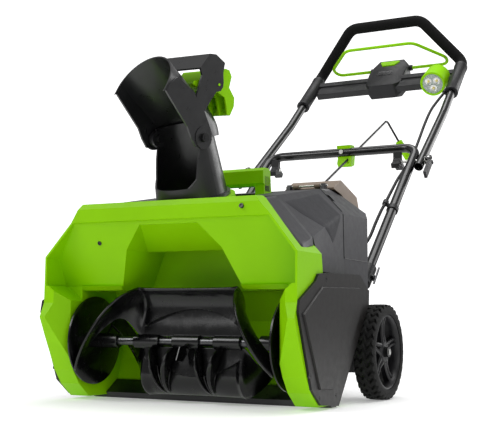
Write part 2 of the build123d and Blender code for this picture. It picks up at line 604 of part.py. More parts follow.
# Side plate of the deflector: leg, pivot lobe, and the arm that carries the crossbar and trigger.
ARM = [(-14, -12), (4, -24), (22, -19), (41, -10), (118, 3.5), (120, 20), (112, 41), (66, 48), (58, 43),
       (72, 84), (84, 91), (82, 127), (70, 137), (44, 141), (36, 124), (25, 112), (20, 104), (20, 94),
       (27, 86), (28, 66), (27, 38), (8, 30), (-12, 20)]
with BuildPart() as deflector:
    extrude(channel_profile(CHANNEL_R, LEG_LOW), amount=RIM_TOP + 4)
    extrude(channel_profile(CHANNEL_R - 3, LEG_LOW - 1), amount=RIM_TOP + 4, mode=Mode.SUBTRACT)
    dome = revolve(channel_profile(CHANNEL_R, 3), axis=Axis(PIVOT, (1, 0, 0)), revolution_arc=-43,
                   mode=Mode.PRIVATE)
    dome_room = revolve(channel_profile(CHANNEL_R - 3, 0), axis=Axis(PIVOT, (1, 0, 0)), revolution_arc=-60,
                        mode=Mode.PRIVATE)
    add(dome)
    add(dome_room, mode=Mode.SUBTRACT)
    add(channel_side([(RIM_SIDE, -19), (RIM_TOP, 90), (RIM_TOP + 20, 90), (RIM_TOP + 20, -19)], -80, 80),
        mode=Mode.SUBTRACT)
    add(channel_side([(30, -14.5), (41, -10), (RIM_SIDE, 4), (RIM_SIDE + 20, -40), (30, -40)], -80, 80),
        mode=Mode.SUBTRACT)
    for side in (1, -1):
        add(pivot_rod(*sorted((side * 63, side * 68)), 20))
        add(channel_side(ARM, *sorted((side * 62.5, side * 66.5))))
    add(channel_side([(80, 91), (84, 91), (82, 127), (70, 137), (44, 141), (43.5, 137), (67, 133), (78, 124)], -63, 63))
    add(pivot_rod(-80, 80, 4.1), mode=Mode.SUBTRACT)
    add(pivot_rod(-63, 63, 22), mode=Mode.SUBTRACT)
    trigger_hub = PIVOT + ALONG * 30.5 + ABOVE * 100
    add(x_rod(trigger_hub.Y, trigger_hub.Z, -70, 70, 2.5), mode=Mode.SUBTRACT)
save(CHUTE * deflector.part, "deflector")

with BuildPart() as deflector_bolts:
    for side in (1, -1):
        add(pivot_rod(*sorted((side * 45, side * 74)), 4.0))
        add(pivot_rod(*sorted((side * 68.4, side * 73.5)), 8))
        add(pivot_rod(*sorted((side * 43.5, side * 49.9)), 7.5))
        add(pivot_rod(*sorted((side * 60.6, side * 62.7)), 11))
save(CHUTE * deflector_bolts.part, "deflector_bolts")

TRIGGER_HALF = 56.0
with BuildPart() as deflector_trigger:
    add(channel_side([(36, 104), (30, 112), (29, 142), (20, 147), (8, 142), (0, 122), (-22, 117), (-31, 104),
                      (-34, 84), (-27, 80), (-14, 92), (-2, 100), (16, 95), (34, 94)], -TRIGGER_HALF, TRIGGER_HALF))
    for i in range(5):
        x_low = -TRIGGER_HALF + 4 + i * 21.8
        add(channel_side([(26, 108), (25, 138), (19, 142), (12, 138), (4, 118), (-18, 113), (-27, 102), (-30, 82),
                          (-26, 70), (20, 88), (24, 96)], x_low, x_low + 17.8), mode=Mode.SUBTRACT)
    for side in (1, -1):
        add(channel_side([(26, 94), (44, 80), (60, 66), (71, 64), (73, 70), (50, 96), (38, 106)],
                         *sorted((side * (TRIGGER_HALF - 3), side * TRIGGER_HALF))))
    add(x_rod(trigger_hub.Y, trigger_hub.Z, -TRIGGER_HALF, TRIGGER_HALF, 6))
    add(revolve(channel_profile(CHANNEL_R + 3.5, 0), axis=Axis(PIVOT, (1, 0, 0)), revolution_arc=-60,
                mode=Mode.PRIVATE), mode=Mode.SUBTRACT)
    add(x_rod(trigger_hub.Y, trigger_hub.Z, -80, 80, 2.5 + RUN), mode=Mode.SUBTRACT)
save(CHUTE * deflector_trigger.part, "deflector_trigger")
save(CHUTE * x_rod(trigger_hub.Y, trigger_hub.Z, -67.5, 67.5, 2.5 - RUN), "trigger_pin")

# ---------------------------------------------------------------- chute crank
PINION = SEAT.origin + Vector(0, math.cos(CHUTE_LEAN), math.sin(CHUTE_LEAN)) * 70 - LEAN_AXIS * 46.7
drive_dir = (CRANK_JOINT - PINION).normalized()
with BuildPart() as crank_pinion:
    add(rod(PINION, CRANK_JOINT - drive_dir * 6, 4))
    add(rod(PINION - drive_dir * 7, PINION + drive_dir * 7, 9.5))
    for tooth in range(10):
        a = tooth * 2 * math.pi / 10
        side_dir = Vector(1, 0, 0) * math.cos(a) + drive_dir.cross(Vector(1, 0, 0)) * math.sin(a)
        add(rod(PINION - drive_dir * 7 + side_dir * 9.2, PINION + drive_dir * 7 + side_dir * 9.2, 1.7))
    add(rod(CRANK_JOINT - drive_dir * 26, CRANK_JOINT - drive_dir * 7, 8))
    add(rod(CRANK_JOINT - drive_dir * 7, CRANK_JOINT + drive_dir * 4, 3.5))
save(crank_pinion.part, "crank_pinion_shaft")

crank_end = CRANK_BEND + CRANK_ARM * 128
crank_start = CRANK_JOINT + CRANK_DIR * 6
with BuildPart() as crank_rod:
    add(bent_tube([crank_start, CRANK_BEND, crank_end], [9], CRANK_R))
    add(rod(crank_start, crank_start + CRANK_DIR * 20, 7))
save(crank_rod.part, "crank_rod")
save(rod(CRANK_BEND + CRANK_ARM * 66, CRANK_BEND + CRANK_ARM * 132, 9.5, CRANK_R + RUN), "crank_knob")

CROSSBAR_Y, CROSSBAR_Z = 690.0, 572.0
BOLT_X = 4.0
with BuildPart() as crank_bracket:
    add(side_prism([(682, 583.5), (681, 589), (706, 591), (714, 572), (708, 541), (692, 535), (683, 543),
                    (688, 558)], -10, 27))
    add(x_rod(CROSSBAR_Y, CROSSBAR_Z, -20, 40, TUBE_R + RUN), mode=Mode.SUBTRACT)
    add(rod(CRANK_BRACKET - CRANK_DIR * 40, CRANK_BRACKET + CRANK_DIR * 40, CRANK_R + 0.1),
        mode=Mode.SUBTRACT)
    add(rod((BOLT_X, 640, CROSSBAR_Z), (BOLT_X, 720, CROSSBAR_Z), 2.6), mode=Mode.SUBTRACT)
save(crank_bracket.part, "crank_bracket")

# ---------------------------------------------------------------- carry handle
with BuildPart() as carry_handle:
    for side in (1, -1):
        add(side_prism([(42, 385.3), (75, 388.6), (68, 430), (38, 430)], *sorted((side * 84, side * 103))))
    add(side_prism([(36, 410), (42, 406), (60, 406), (69, 416), (66, 436), (60, 440), (42, 440), (35, 434)],
                   -104, 104))
save(carry_handle.part, "carry_handle")

# ---------------------------------------------------------------- handle frame
LOWER_X, UPPER_X = 198.0, 220.5
LOWER_PATH = mirrored([(LOWER_X, 306, 222), (LOWER_X, CROSSBAR_Y, CROSSBAR_Z)])
UPPER_HALF = [(UPPER_X, 626, 513.5), (217, 850, 683), (213, 1062, 868), (104, 1026, 992)]
UPPER_PATH = mirrored(UPPER_HALF)
UPPER_BENDS = [90, 30, 42]
with BuildPart() as lower_handle:
    add(bent_tube(LOWER_PATH, [36, 36], TUBE_R, TUBE_BORE))
    add(x_rod(FOLD_Y, FOLD_Z, -230, 230, CAM_R + RUN), mode=Mode.SUBTRACT)
    add(rod((BOLT_X, 640, CROSSBAR_Z), (BOLT_X, 720, CROSSBAR_Z), 2.6), mode=Mode.SUBTRACT)
    add(x_rod(326, 240.2, -230, 230, 3.1), mode=Mode.SUBTRACT)
save(lower_handle.part, "lower_handle")
with BuildPart() as upper_handle:
    add(bent_tube(UPPER_PATH, UPPER_BENDS + UPPER_BENDS[::-1], TUBE_R, TUBE_BORE))
    add(x_rod(FOLD_Y, FOLD_Z, -250, 250, CAM_R + 2 * RUN), mode=Mode.SUBTRACT)
save(upper_handle.part, "upper_handle")

upper_run = (Vector(213, 1062, 868) - Vector(217, 850, 683)).normalized()


def on_upper_tube(y):
    """Centre of the left upper tube's straight run at a given y."""
    return Vector(217, 850, 683) + upper_run * ((y - 850) / upper_run.Y)


foam_start = on_upper_tube(1044)
save(bent_tube(mirrored([(foam_start.X, foam_start.Y, foam_start.Z)] + UPPER_HALF[2:]),
               UPPER_BENDS[1:] + UPPER_BENDS[:0:-1], GRIP_R, TUBE_R + RUN), "foam_grip")

with BuildPart() as handle_sockets:
    for side in (1, -1):
        add(rod((side * LOWER_X, 312, 227.5), (side * LOWER_X, 350, 262.1), 16))
        add(side_prism([(257, 216), (300, 214), (330, 232), (312, 250), (290, 262), (257, 262)],
                       *sorted((side * (LOWER_X - 5), side * (LOWER_X + 5)))))
        add(rod((side * LOWER_X, 300, 216.5), (side * LOWER_X, 360, 271.2), TUBE_R + RUN),
            mode=Mode.SUBTRACT)
        add(x_rod(326, 240.2, side * LOWER_X - 30, side * LOWER_X + 30, 3.1), mode=Mode.SUBTRACT)
save(handle_sockets.part, "handle_sockets")
with BuildPart() as handle_wing_bolts:
    for side in (1, -1):
        low, high = sorted((side * (LOWER_X - 22), side * (LOWER_X + 21)))
        add(x_rod(326, 240.2, low, high, 3.0))
        add(x_rod(326, 240.2, *sorted((side * (LOWER_X + 16.2), side * (LOWER_X + 20))), 7))
        add(rod((side * (LOWER_X + 22), 318, 228), (side * (LOWER_X + 22), 350, 262), 2.2))
        add(x_rod(326, 240.2, *sorted((side * (LOWER_X - 21), side * (LOWER_X - 16.2))), 5.5))
save(handle_wing_bolts.part, "handle_wing_bolts")

# Cam clamps where the upper handle folds.
TUBE_DIR = Vector(0, CROSSBAR_Y - 306, CROSSBAR_Z - 222).normalized()
CAM_PIN_DIR = Vector(0, -TUBE_DIR.Z, TUBE_DIR.Y)
CAM_X = 241.0
KNOB_LOW, KNOB_HIGH = 153.0, 172.0
with BuildPart() as handle_bolts:
    for side in (1, -1):
        eye = Vector(side * CAM_X, FOLD_Y, FOLD_Z)
        add(x_rod(FOLD_Y, FOLD_Z, *sorted((side * (KNOB_LOW - 2), side * CAM_X)), CAM_R))
        add(x_rod(FOLD_Y, FOLD_Z, *sorted((side * 231.7, side * 232.4)), 10))
        add(rod(eye - CAM_PIN_DIR * 11, eye + CAM_PIN_DIR * 11, 2.5))
    add(rod((BOLT_X, CROSSBAR_Y - 16, CROSSBAR_Z), (BOLT_X, CROSSBAR_Y + 29, CROSSBAR_Z), 2.5))
    add(rod((BOLT_X, CROSSBAR_Y - 16, CROSSBAR_Z), (BOLT_X, CROSSBAR_Y - 11.2, CROSSBAR_Z), 5.5))
    add(rod((BOLT_X, CROSSBAR_Y + 24.3, CROSSBAR_Z), (BOLT_X, CROSSBAR_Y + 29, CROSSBAR_Z), 4.5))
save(handle_bolts.part, "handle_bolts")
for side, name in ((1, "left"), (-1, "right")):
    eye = Vector(side * CAM_X, FOLD_Y, FOLD_Z)
    with BuildPart() as cam_lever:
        add(rod(eye - CAM_PIN_DIR * 10, eye + CAM_PIN_DIR * 10, 8.3))
        blade_plane = Plane(origin=eye + Vector(side * 3.5, 0, 0), x_dir=CAM_PIN_DIR, z_dir=-TUBE_DIR)
        with BuildSketch(blade_plane):
            Rectangle(18, 7)
        extrude(amount=62)
        slot_plane = Plane(origin=eye, x_dir=CAM_PIN_DIR, z_dir=Vector(1, 0, 0))
        with BuildSketch(slot_plane):
            Rectangle(8.6, 19)
        extrude(amount=12, both=True, mode=Mode.SUBTRACT)
        add(rod(eye - CAM_PIN_DIR * 12, eye + CAM_PIN_DIR * 12, 2.6), mode=Mode.SUBTRACT)
    save(cam_lever.part, f"cam_lever_{name}")
with BuildPart() as cam_knobs:
    for side in (1, -1):
        low, high = sorted((side * KNOB_LOW, side * KNOB_HIGH))
        add(x_rod(FOLD_Y, FOLD_Z, low, high, 10))
        for angle in (90, 210, 330):
            lobe = box_between((low, 4, -6), (high, 24, 6))
            add(Location((0, FOLD_Y, FOLD_Z)) * Rot(angle, 0, 0) * lobe)
        add(x_rod(FOLD_Y, FOLD_Z, low - 9, high + 9, CAM_R + 0.02), mode=Mode.SUBTRACT)
save(cam_knobs.part, "cam_knobs")

# ---------------------------------------------------------------- control box
POD_HALF = 52.0
BAIL_Y, BAIL_Z, BAIL_R = 1080.0, 873.0, 3.2
LAMP_AXIS = Vector(0, -0.848, -0.530).normalized()
LAMP_FRONT = Vector(158, 955, 789)
LAMP_R, LAMP_LONG = 34.0, 62.0
BUTTON_PLANE = Plane(origin=(0, 1062, 884), x_dir=(1, 0, 0), z_dir=Vector(0, -0.633, 0.774))
with BuildPart() as control_box:
    add(side_prism([(1000, 806), (1022, 780), (1062, 790), (1108, 852), (1104, 888), (1084, 902),
                    (1040, 866)], -POD_HALF, POD_HALF))
    chamfer(control_box.edges().filter_by(Axis.X, reverse=True), 4)
    add(side_prism([(990, 800), (1006, 788), (1040, 812), (1036, 838), (1018, 840)], -200, 200))
    for side in (1, -1):
        start, end = on_upper_tube(931), on_upper_tube(1042)
        add(rod((side * start.X, start.Y, start.Z), (side * end.X, end.Y, end.Z), 17.5))
        add(x_rod(BAIL_Y, BAIL_Z, *sorted((side * (POD_HALF - 6), side * (POD_HALF + 10))), 8))
        add(x_rod(BAIL_Y, BAIL_Z, *sorted((side * 40, side * 70)), BAIL_R + RUN), mode=Mode.SUBTRACT)
    add(rod(LAMP_FRONT, LAMP_FRONT - LAMP_AXIS * (LAMP_LONG + 1), LAMP_R + 0.5), mode=Mode.SUBTRACT)
    for side in (1, -1):
        start, end = on_upper_tube(920), on_upper_tube(1060)
        add(rod((side * start.X, start.Y, start.Z), (side * end.X, end.Y, end.Z), TUBE_R + RUN),
            mode=Mode.SUBTRACT)
    with BuildSketch(BUTTON_PLANE.offset(1)):
        Rectangle(41, 31)
    extrude(amount=-8, mode=Mode.SUBTRACT)
    add(rod(CABLE_BOOT, Vector(*CABLE_BOOT) + CABLE_END_DIR * 40, 6))
    add(rod(on_upper_tube(920), on_upper_tube(990), TUBE_R + RUN), mode=Mode.SUBTRACT)
save(control_box.part, "control_box")
with BuildPart() as start_button:
    with BuildSketch(BUTTON_PLANE.offset(-3.6)):
        RectangleRounded(40, 30, 5)
    extrude(amount=8)
    button_top = start_button.faces().sort_by(Axis(BUTTON_PLANE.origin, BUTTON_PLANE.z_dir))[-1]
    fillet(button_top.edges(), 1.5)
save(start_button.part, "start_button")

BAIL_PATH = mirrored([(POD_HALF - 6, BAIL_Y, BAIL_Z), (162, BAIL_Y, BAIL_Z), (170, 1050, 883), (99, 968, 913)])
save(bent_tube(BAIL_PATH, [12, 14, 20, 20, 14, 12], BAIL_R), "bail_lever")

with BuildPart() as headlamp_body:
    add(rod(LAMP_FRONT, LAMP_FRONT - LAMP_AXIS * LAMP_LONG, LAMP_R))
    add(rod(LAMP_FRONT + LAMP_AXIS, LAMP_FRONT - LAMP_AXIS * 40, LAMP_R - 3), mode=Mode.SUBTRACT)
    add(rod(LAMP_FRONT - LAMP_AXIS * 20, LAMP_FRONT - LAMP_AXIS * 58, LAMP_R - 5), mode=Mode.SUBTRACT)
save(headlamp_body.part, "headlamp_body")
save(rod(LAMP_FRONT - LAMP_AXIS * 2, LAMP_FRONT - LAMP_AXIS * 4.5, LAMP_R - 3 - RUN), "headlamp_lens")
LED_CIRCLE, LED_CUP_R = 15.0, 10.5
lamp_plane = Plane(origin=LAMP_FRONT - LAMP_AXIS * 18, x_dir=(1, 0, 0), z_dir=LAMP_AXIS)
LED_SPOTS = [(LED_CIRCLE * math.cos(math.radians(a)), LED_CIRCLE * math.sin(math.radians(a)))
             for a in (30, 150, 270)]
with BuildPart() as headlamp_reflector:
    with BuildSketch(lamp_plane):
        Circle(LAMP_R - 3.1)
    extrude(amount=11)
    with BuildSketch(lamp_plane.offset(11)):
        with Locations(*LED_SPOTS):
            Circle(LED_CUP_R)
    extrude(amount=-9, taper=28, mode=Mode.SUBTRACT)
save(headlamp_reflector.part, "headlamp_reflector")

# ---------------------------------------------------------------- power cable


def cable(points):
    """A clipped cable: straight runs with the largest tangent arcs that fit."""
    spots = [Vector(*point) for point in points]
    radii = []
    for before, corner, after in zip(spots, spots[1:], spots[2:]):
        turn = (corner - before).get_angle(after - corner)
        shorter = min((corner - before).length, (after - corner).length)
        radii.append(0.45 * shorter / math.tan(math.radians(turn) / 2))
    print("cable radii", [round(r) for r in radii])
    return bent_tube(points, radii, CABLE_R)


CABLE_LOWER = [GLAND, (166, 360, 309), (171, 390, 314), (175, 418, 334), (177, 446, 364), (180, 474, 394),
               (182, 502, 418), (181, 544, 448), (180, 590, 480), (181, 620, 500), (183, 651, 521)]
CABLE_UPPER = [(183.3, 654, 523.2), (185, 690, 549), (186, 736, 595), (186, 790, 648), (188, 838, 692),
               CABLE_LAST, CABLE_BOOT]
save(cable(CABLE_LOWER), "power_cable_lower")
save(cable(CABLE_UPPER), "power_cable_upper")
save(rod((GLAND[0], 320, GLAND[2]), GLAND, 8), "cable_gland")
CLIP_Y = 502.0
clip_on_tube = Vector(LOWER_X, CLIP_Y, 222 + (CLIP_Y - 306) * TUBE_DIR.Z / TUBE_DIR.Y)
clip_on_cable = Vector(181.6, CLIP_Y, 417)
with BuildPart() as cable_clip:
    add(rod(clip_on_tube - TUBE_DIR * 6, clip_on_tube + TUBE_DIR * 6, TUBE_R + 2.2))
    add(rod(clip_on_cable - TUBE_DIR * 6, clip_on_cable + TUBE_DIR * 6, CABLE_R + 3))
    add(rod(clip_on_tube, clip_on_cable, 5))
    add(rod(clip_on_tube - TUBE_DIR * 20, clip_on_tube + TUBE_DIR * 20, TUBE_R + RUN), mode=Mode.SUBTRACT)
    add(rod(clip_on_cable - TUBE_DIR * 10, clip_on_cable + TUBE_DIR * 10, CABLE_R + 1), mode=Mode.SUBTRACT)
save(cable_clip.part, "cable_clip")
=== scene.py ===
import math

import bmesh
import bpy
from mathutils import Matrix, Vector
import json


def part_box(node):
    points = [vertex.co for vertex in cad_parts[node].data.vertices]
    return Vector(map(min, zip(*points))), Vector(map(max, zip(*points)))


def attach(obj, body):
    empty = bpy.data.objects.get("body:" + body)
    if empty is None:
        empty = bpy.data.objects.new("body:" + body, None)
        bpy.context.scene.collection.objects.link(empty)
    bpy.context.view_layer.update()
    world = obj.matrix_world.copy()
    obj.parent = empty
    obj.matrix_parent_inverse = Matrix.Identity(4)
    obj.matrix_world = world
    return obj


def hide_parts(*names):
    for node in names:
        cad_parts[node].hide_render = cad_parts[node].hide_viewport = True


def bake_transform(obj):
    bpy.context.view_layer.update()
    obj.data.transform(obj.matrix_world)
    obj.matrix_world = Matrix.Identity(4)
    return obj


# Cordless snow thrower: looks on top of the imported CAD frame. Metres, +Z up, -Y is the front.
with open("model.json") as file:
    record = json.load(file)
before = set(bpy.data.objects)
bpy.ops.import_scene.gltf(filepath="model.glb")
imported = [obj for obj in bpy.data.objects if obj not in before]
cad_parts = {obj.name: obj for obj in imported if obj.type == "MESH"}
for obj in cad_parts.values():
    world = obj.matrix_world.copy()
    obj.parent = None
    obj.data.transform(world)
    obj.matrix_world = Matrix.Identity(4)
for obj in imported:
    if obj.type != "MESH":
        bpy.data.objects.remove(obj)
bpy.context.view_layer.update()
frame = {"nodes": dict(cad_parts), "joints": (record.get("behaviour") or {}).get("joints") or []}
NODES = frame["nodes"]
MM = 0.001


# ---------------------------------------------------------------- camera
def make_camera():
    """The reference viewing angle: low, in front and to the machine's left."""
    azimuth, elevation, roll = (math.radians(a) for a in (27.163, -5.277, 0.347))
    back = Vector((math.sin(azimuth) * math.cos(elevation), -math.cos(azimuth) * math.cos(elevation),
                   math.sin(elevation)))
    right = Vector((math.cos(azimuth), math.sin(azimuth), 0))
    up = back.cross(right)
    right_rolled = right * math.cos(roll) + up * math.sin(roll)
    up_rolled = up * math.cos(roll) - right * math.sin(roll)
    data = bpy.data.cameras.new("camera")
    data.sensor_width = 36.0
    data.lens = 72.1
    camera = bpy.data.objects.new("camera", data)
    rotation = Matrix((right_rolled, up_rolled, back)).transposed()
    camera.matrix_world = Matrix.Translation((0.93705, -1.64136, 0.15879)) @ rotation.to_4x4()
    bpy.context.scene.collection.objects.link(camera)
    bpy.context.scene.camera = camera


make_camera()


# ---------------------------------------------------------------- materials
def srgb(red, green, blue):
    """Linear colour from 0-255 screen values."""
    def linear(value):
        value /= 255.0
        return value / 12.92 if value <= 0.04045 else ((value + 0.055) / 1.055) ** 2.4
    return (linear(red), linear(green), linear(blue), 1.0)


def shade(colour, factor):
    """The same colour, lighter or darker."""
    return tuple(min(1.0, c * factor) for c in colour[:3]) + (1.0,)


class Nodes:
    """Short notation for building a node tree."""

    def __init__(self, name):
        self.material = bpy.data.materials.new(name)
        self.material.use_nodes = True
        self.tree = self.material.node_tree
        self.shader = self.tree.nodes["Principled BSDF"]
        self.coords = self.tree.nodes.new("ShaderNodeTexCoord").outputs["Object"]

    def new(self, kind, **settings):
        node = self.tree.nodes.new(kind)
        for key, value in settings.items():
            setattr(node, key, value)
        return node

    def link(self, a, b):
        self.tree.links.new(a, b)

    def noise(self, scale, detail=3.0, roughness=0.55, stretch=None):
        node = self.new("ShaderNodeTexNoise")
        node.inputs["Scale"].default_value = scale
        node.inputs["Detail"].default_value = detail
        node.inputs["Roughness"].default_value = roughness
        source = self.coords
        if stretch:
            mapping = self.new("ShaderNodeMapping")
            mapping.inputs["Scale"].default_value = stretch
            self.link(self.coords, mapping.inputs["Vector"])
            source = mapping.outputs["Vector"]
        self.link(source, node.inputs["Vector"])
        return node.outputs["Fac"]

    def ramp(self, value, low, high, start=0.35, end=0.65):
        """Maps a 0-1 value to a range of numbers."""
        node = self.new("ShaderNodeMapRange")
        node.inputs["From Min"].default_value = start
        node.inputs["From Max"].default_value = end
        node.inputs["To Min"].default_value = low
        node.inputs["To Max"].default_value = high
        self.link(value, node.inputs["Value"])
        return node.outputs["Result"]

    def mix(self, factor, colour_a, colour_b):
        node = self.new("ShaderNodeMix", data_type="RGBA")
        self.link(factor, node.inputs[0])
        for socket, colour in ((node.inputs[6], colour_a), (node.inputs[7], colour_b)):
            if isinstance(colour, tuple):
                socket.default_value = colour
            else:
                self.link(colour, socket)
        return node.outputs[2]

    def bump(self, height, strength, distance, normal=None):
        node = self.new("ShaderNodeBump")
        node.inputs["Strength"].default_value = strength
        node.inputs["Distance"].default_value = distance
        self.link(height, node.inputs["Height"])
        if normal:
            self.link(normal, node.inputs["Normal"])
        return node.outputs["Normal"]

    def set(self, **values):
        """Sets sockets of the shader, written with _ for the space in a name."""
        for key, value in values.items():
            socket = self.shader.inputs[key.replace("_", " ")]
            if isinstance(value, (int, float, tuple)):
                socket.default_value = value
            else:
                self.link(value, socket)


def plastic(name, colour, roughness=0.4, grain=0.12, grain_scale=1400, coat=0.0, specular=0.5, blotch=0.06):
    """Moulded plastic: slight colour drift, fine spark-eroded grain and handling marks in the gloss."""
    n = Nodes(name)
    drift = n.noise(9.0, 4.0)
    tint = n.mix(n.ramp(drift, 0.0, 1.0), shade(colour, 1.0 - blotch), shade(colour, 1.0 + blotch))
    wear = n.noise(60.0, 6.0, 0.7)
    grain_height = n.noise(grain_scale, 2.0)
    n.set(Base_Color=tint, Roughness=n.ramp(wear, roughness - 0.06, roughness + 0.07),
          Specular_IOR_Level=specular, Coat_Weight=coat, Coat_Roughness=0.12,
          Normal=n.bump(grain_height, grain, 0.0006))
    return n.material


def paint(name, colour, roughness=0.22, metallic=0.0, coat=0.6):
    """Powder coat: faint orange peel under a clear gloss."""
    n = Nodes(name)
    peel = n.noise(420.0, 2.0)
    wear = n.noise(35.0, 6.0, 0.7)
    n.set(Base_Color=n.mix(n.ramp(wear, 0.0, 1.0), shade(colour, 0.85), shade(colour, 1.25)),
          Roughness=n.ramp(wear, roughness - 0.05, roughness + 0.1), Metallic=metallic,
          Coat_Weight=coat, Coat_Roughness=0.08, Specular_IOR_Level=0.35, Normal=n.bump(peel, 0.02, 0.0002))
    return n.material


def metal(name, colour, roughness=0.3, stretch=(40.0, 40.0, 900.0)):
    """Plated or brushed metal with fine lines."""
    n = Nodes(name)
    lines = n.noise(6.0, 4.0, 0.6, stretch)
    spots = n.noise(80.0, 5.0)
    n.set(Base_Color=n.mix(n.ramp(spots, 0.0, 1.0), shade(colour, 0.8), shade(colour, 1.1)), Metallic=1.0,
          Roughness=n.ramp(lines, roughness - 0.08, roughness + 0.12), Normal=n.bump(lines, 0.08, 0.0003))
    return n.material


def rubber(name, colour, roughness=0.6, pores=0.25, scale=900, specular=0.35, dust=None):
    """Rubber or foam with pores and a little dust in cloudy patches."""
    n = Nodes(name)
    pore = n.noise(scale, 3.0, 0.6)
    cloud = n.noise(30.0, 5.0, 0.65)
    n.set(Base_Color=n.mix(n.ramp(cloud, 0.0, 1.0), shade(colour, 0.8), dust or shade(colour, 1.5)),
          Roughness=n.ramp(cloud, roughness - 0.06, roughness + 0.08), Specular_IOR_Level=specular,
          Normal=n.bump(pore, pores, 0.0008))
    return n.material


LIME = srgb(138, 202, 0)
M = {
    "green": plastic("lime_plastic", LIME, 0.4, 0.04, 1600, specular=0.12, blotch=0.03),
    "green_trim": plastic("lime_trim", srgb(140, 206, 0), 0.42, 0.05, 1600, specular=0.12, blotch=0.03),
    "grey": plastic("grey_plastic", srgb(49, 49, 53), 0.44, 0.08, 1200, specular=0.4, blotch=0.05),
    "inset": plastic("inset_plastic", srgb(46, 46, 50), 0.6, 0.35, 900, specular=0.25, blotch=0.06),
    "cover": plastic("cover_plastic", srgb(22, 20, 19), 0.36, 0.04, 900, specular=0.3),
    "bronze": plastic("bronze_plastic", srgb(128, 112, 97), 0.42, 0.12, 1400, specular=0.4, blotch=0.05),
    "gloss": plastic("gloss_black_plastic", srgb(20, 20, 22), 0.33, 0.03, 900, coat=0.15, specular=0.6, blotch=0.1),
    "auger": plastic("auger_black", srgb(5, 5, 6), 0.22, 0.02, 500, coat=0.15, specular=0.35, blotch=0.15),
    "control": plastic("control_plastic", srgb(27, 27, 29), 0.46, 0.16, 1500, specular=0.3),
    "black": plastic("black_plastic", srgb(22, 22, 24), 0.44, 0.14, 1300, specular=0.35),
    "rim": plastic("rim_plastic", srgb(19, 19, 21), 0.36, 0.12, 1300, specular=0.35),
    "tube": paint("tube_coat", srgb(8, 8, 9), 0.2, coat=0.25),
    "wire": paint("wire_coat", srgb(18, 18, 19), 0.35, coat=0.2),
    "foam": rubber("grip_foam", srgb(16, 16, 16), 0.85, 0.5, 1200, specular=0.15),
    "tyre": rubber("tyre_rubber", srgb(15, 15, 15), 0.74, 0.3, 700, specular=0.25, dust=srgb(26, 26, 25)),
    "cable": rubber("cable_jacket", srgb(14, 14, 15), 0.5, 0.1, 900),
    "belt": rubber("belt_rubber", srgb(26, 26, 26), 0.7, 0.2, 800),
    "label": plastic("label_film", srgb(28, 28, 30), 0.25, 0.02, 500, coat=0.3, blotch=0.04),
    "dark_steel": metal("black_oxide_steel", (0.10, 0.10, 0.105, 1.0), 0.28),
    "steel": metal("zinc_steel", (0.62, 0.62, 0.60, 1.0), 0.32),
    "bearing": metal("bearing_steel", (0.7, 0.7, 0.7, 1.0), 0.2),
    "iron": metal("laminated_iron", (0.28, 0.26, 0.25, 1.0), 0.5, (900.0, 40.0, 40.0)),
    "alloy": metal("cast_alloy", (0.55, 0.56, 0.58, 1.0), 0.45),
    "mirror": metal("reflector_metal", (0.85, 0.85, 0.84, 1.0), 0.12),
    "lamp_face": plastic("lamp_face_plastic", srgb(150, 164, 160), 0.3, 0.05, 700, blotch=0.08),
    "led": plastic("led_phosphor", srgb(240, 214, 60), 0.5, 0.1, 900, blotch=0.1),
}


def glass(name, colour, roughness=0.05):
    """Clear moulded lens with a faint moulded ripple."""
    n = Nodes(name)
    ripple = n.noise(300.0, 2.0)
    n.set(Base_Color=colour, Roughness=n.ramp(ripple, roughness, roughness + 0.06), IOR=1.49,
          Alpha=0.16, Normal=n.bump(ripple, 0.08, 0.0004))
    return n.material


M["lens"] = glass("lamp_lens", (0.82, 0.86, 0.83, 1.0))

LOOKS = {
    "green": ["auger_housing", "carry_handle"],
    "green_trim": ["deflector_trigger", "start_button", "headlamp_body", "bail_lever", "crank_bracket",
                   "crank_knob", "trigger_pin"],
    "grey": ["front_cover", "rear_cover"],
    "cover": ["drive_side_cover", "idle_side_cover"],
    "bronze": ["battery_lid"],
    "gloss": ["chute_tube", "deflector", "chute_ring_gear", "scraper_bar"],
    "auger": ["auger_paddle_upper", "auger_paddle_lower"],
    "control": ["control_box"],
    "black": ["chassis_base", "battery_bay", "battery_pack", "cam_lever_left",
              "cam_lever_right", "cam_knobs", "handle_sockets", "cable_clip", "wheel_rim_left",
              "wheel_rim_right", "motor_housing"],
    "tube": ["lower_handle", "upper_handle"],
    "wire": ["crank_rod", "side_cover_screws", "deflector_bolts", "axle_nuts"],
    "dark_steel": ["auger_shaft", "handle_wing_bolts"],
    "foam": ["foam_grip"],
    "tyre": ["tyre_left", "tyre_right"],
    "cable": ["power_cable_lower", "power_cable_upper", "cable_gland"],
    "belt": ["drive_belt"],
    "steel": ["lid_hinge_pin", "axle", "crank_pinion_shaft", "handle_bolts",
              "motor_pulley", "auger_pulley"],
    "bearing": ["auger_bearings"],
    "iron": ["motor_stator", "motor_rotor"],
    "alloy": ["motor_controller"],
    "mirror": ["headlamp_reflector"],
    "lens": ["headlamp_lens"],
}
for look, names in LOOKS.items():
    for name in names:
        node = NODES[name]
        node.data.materials.clear()
        node.data.materials.append(M[look])


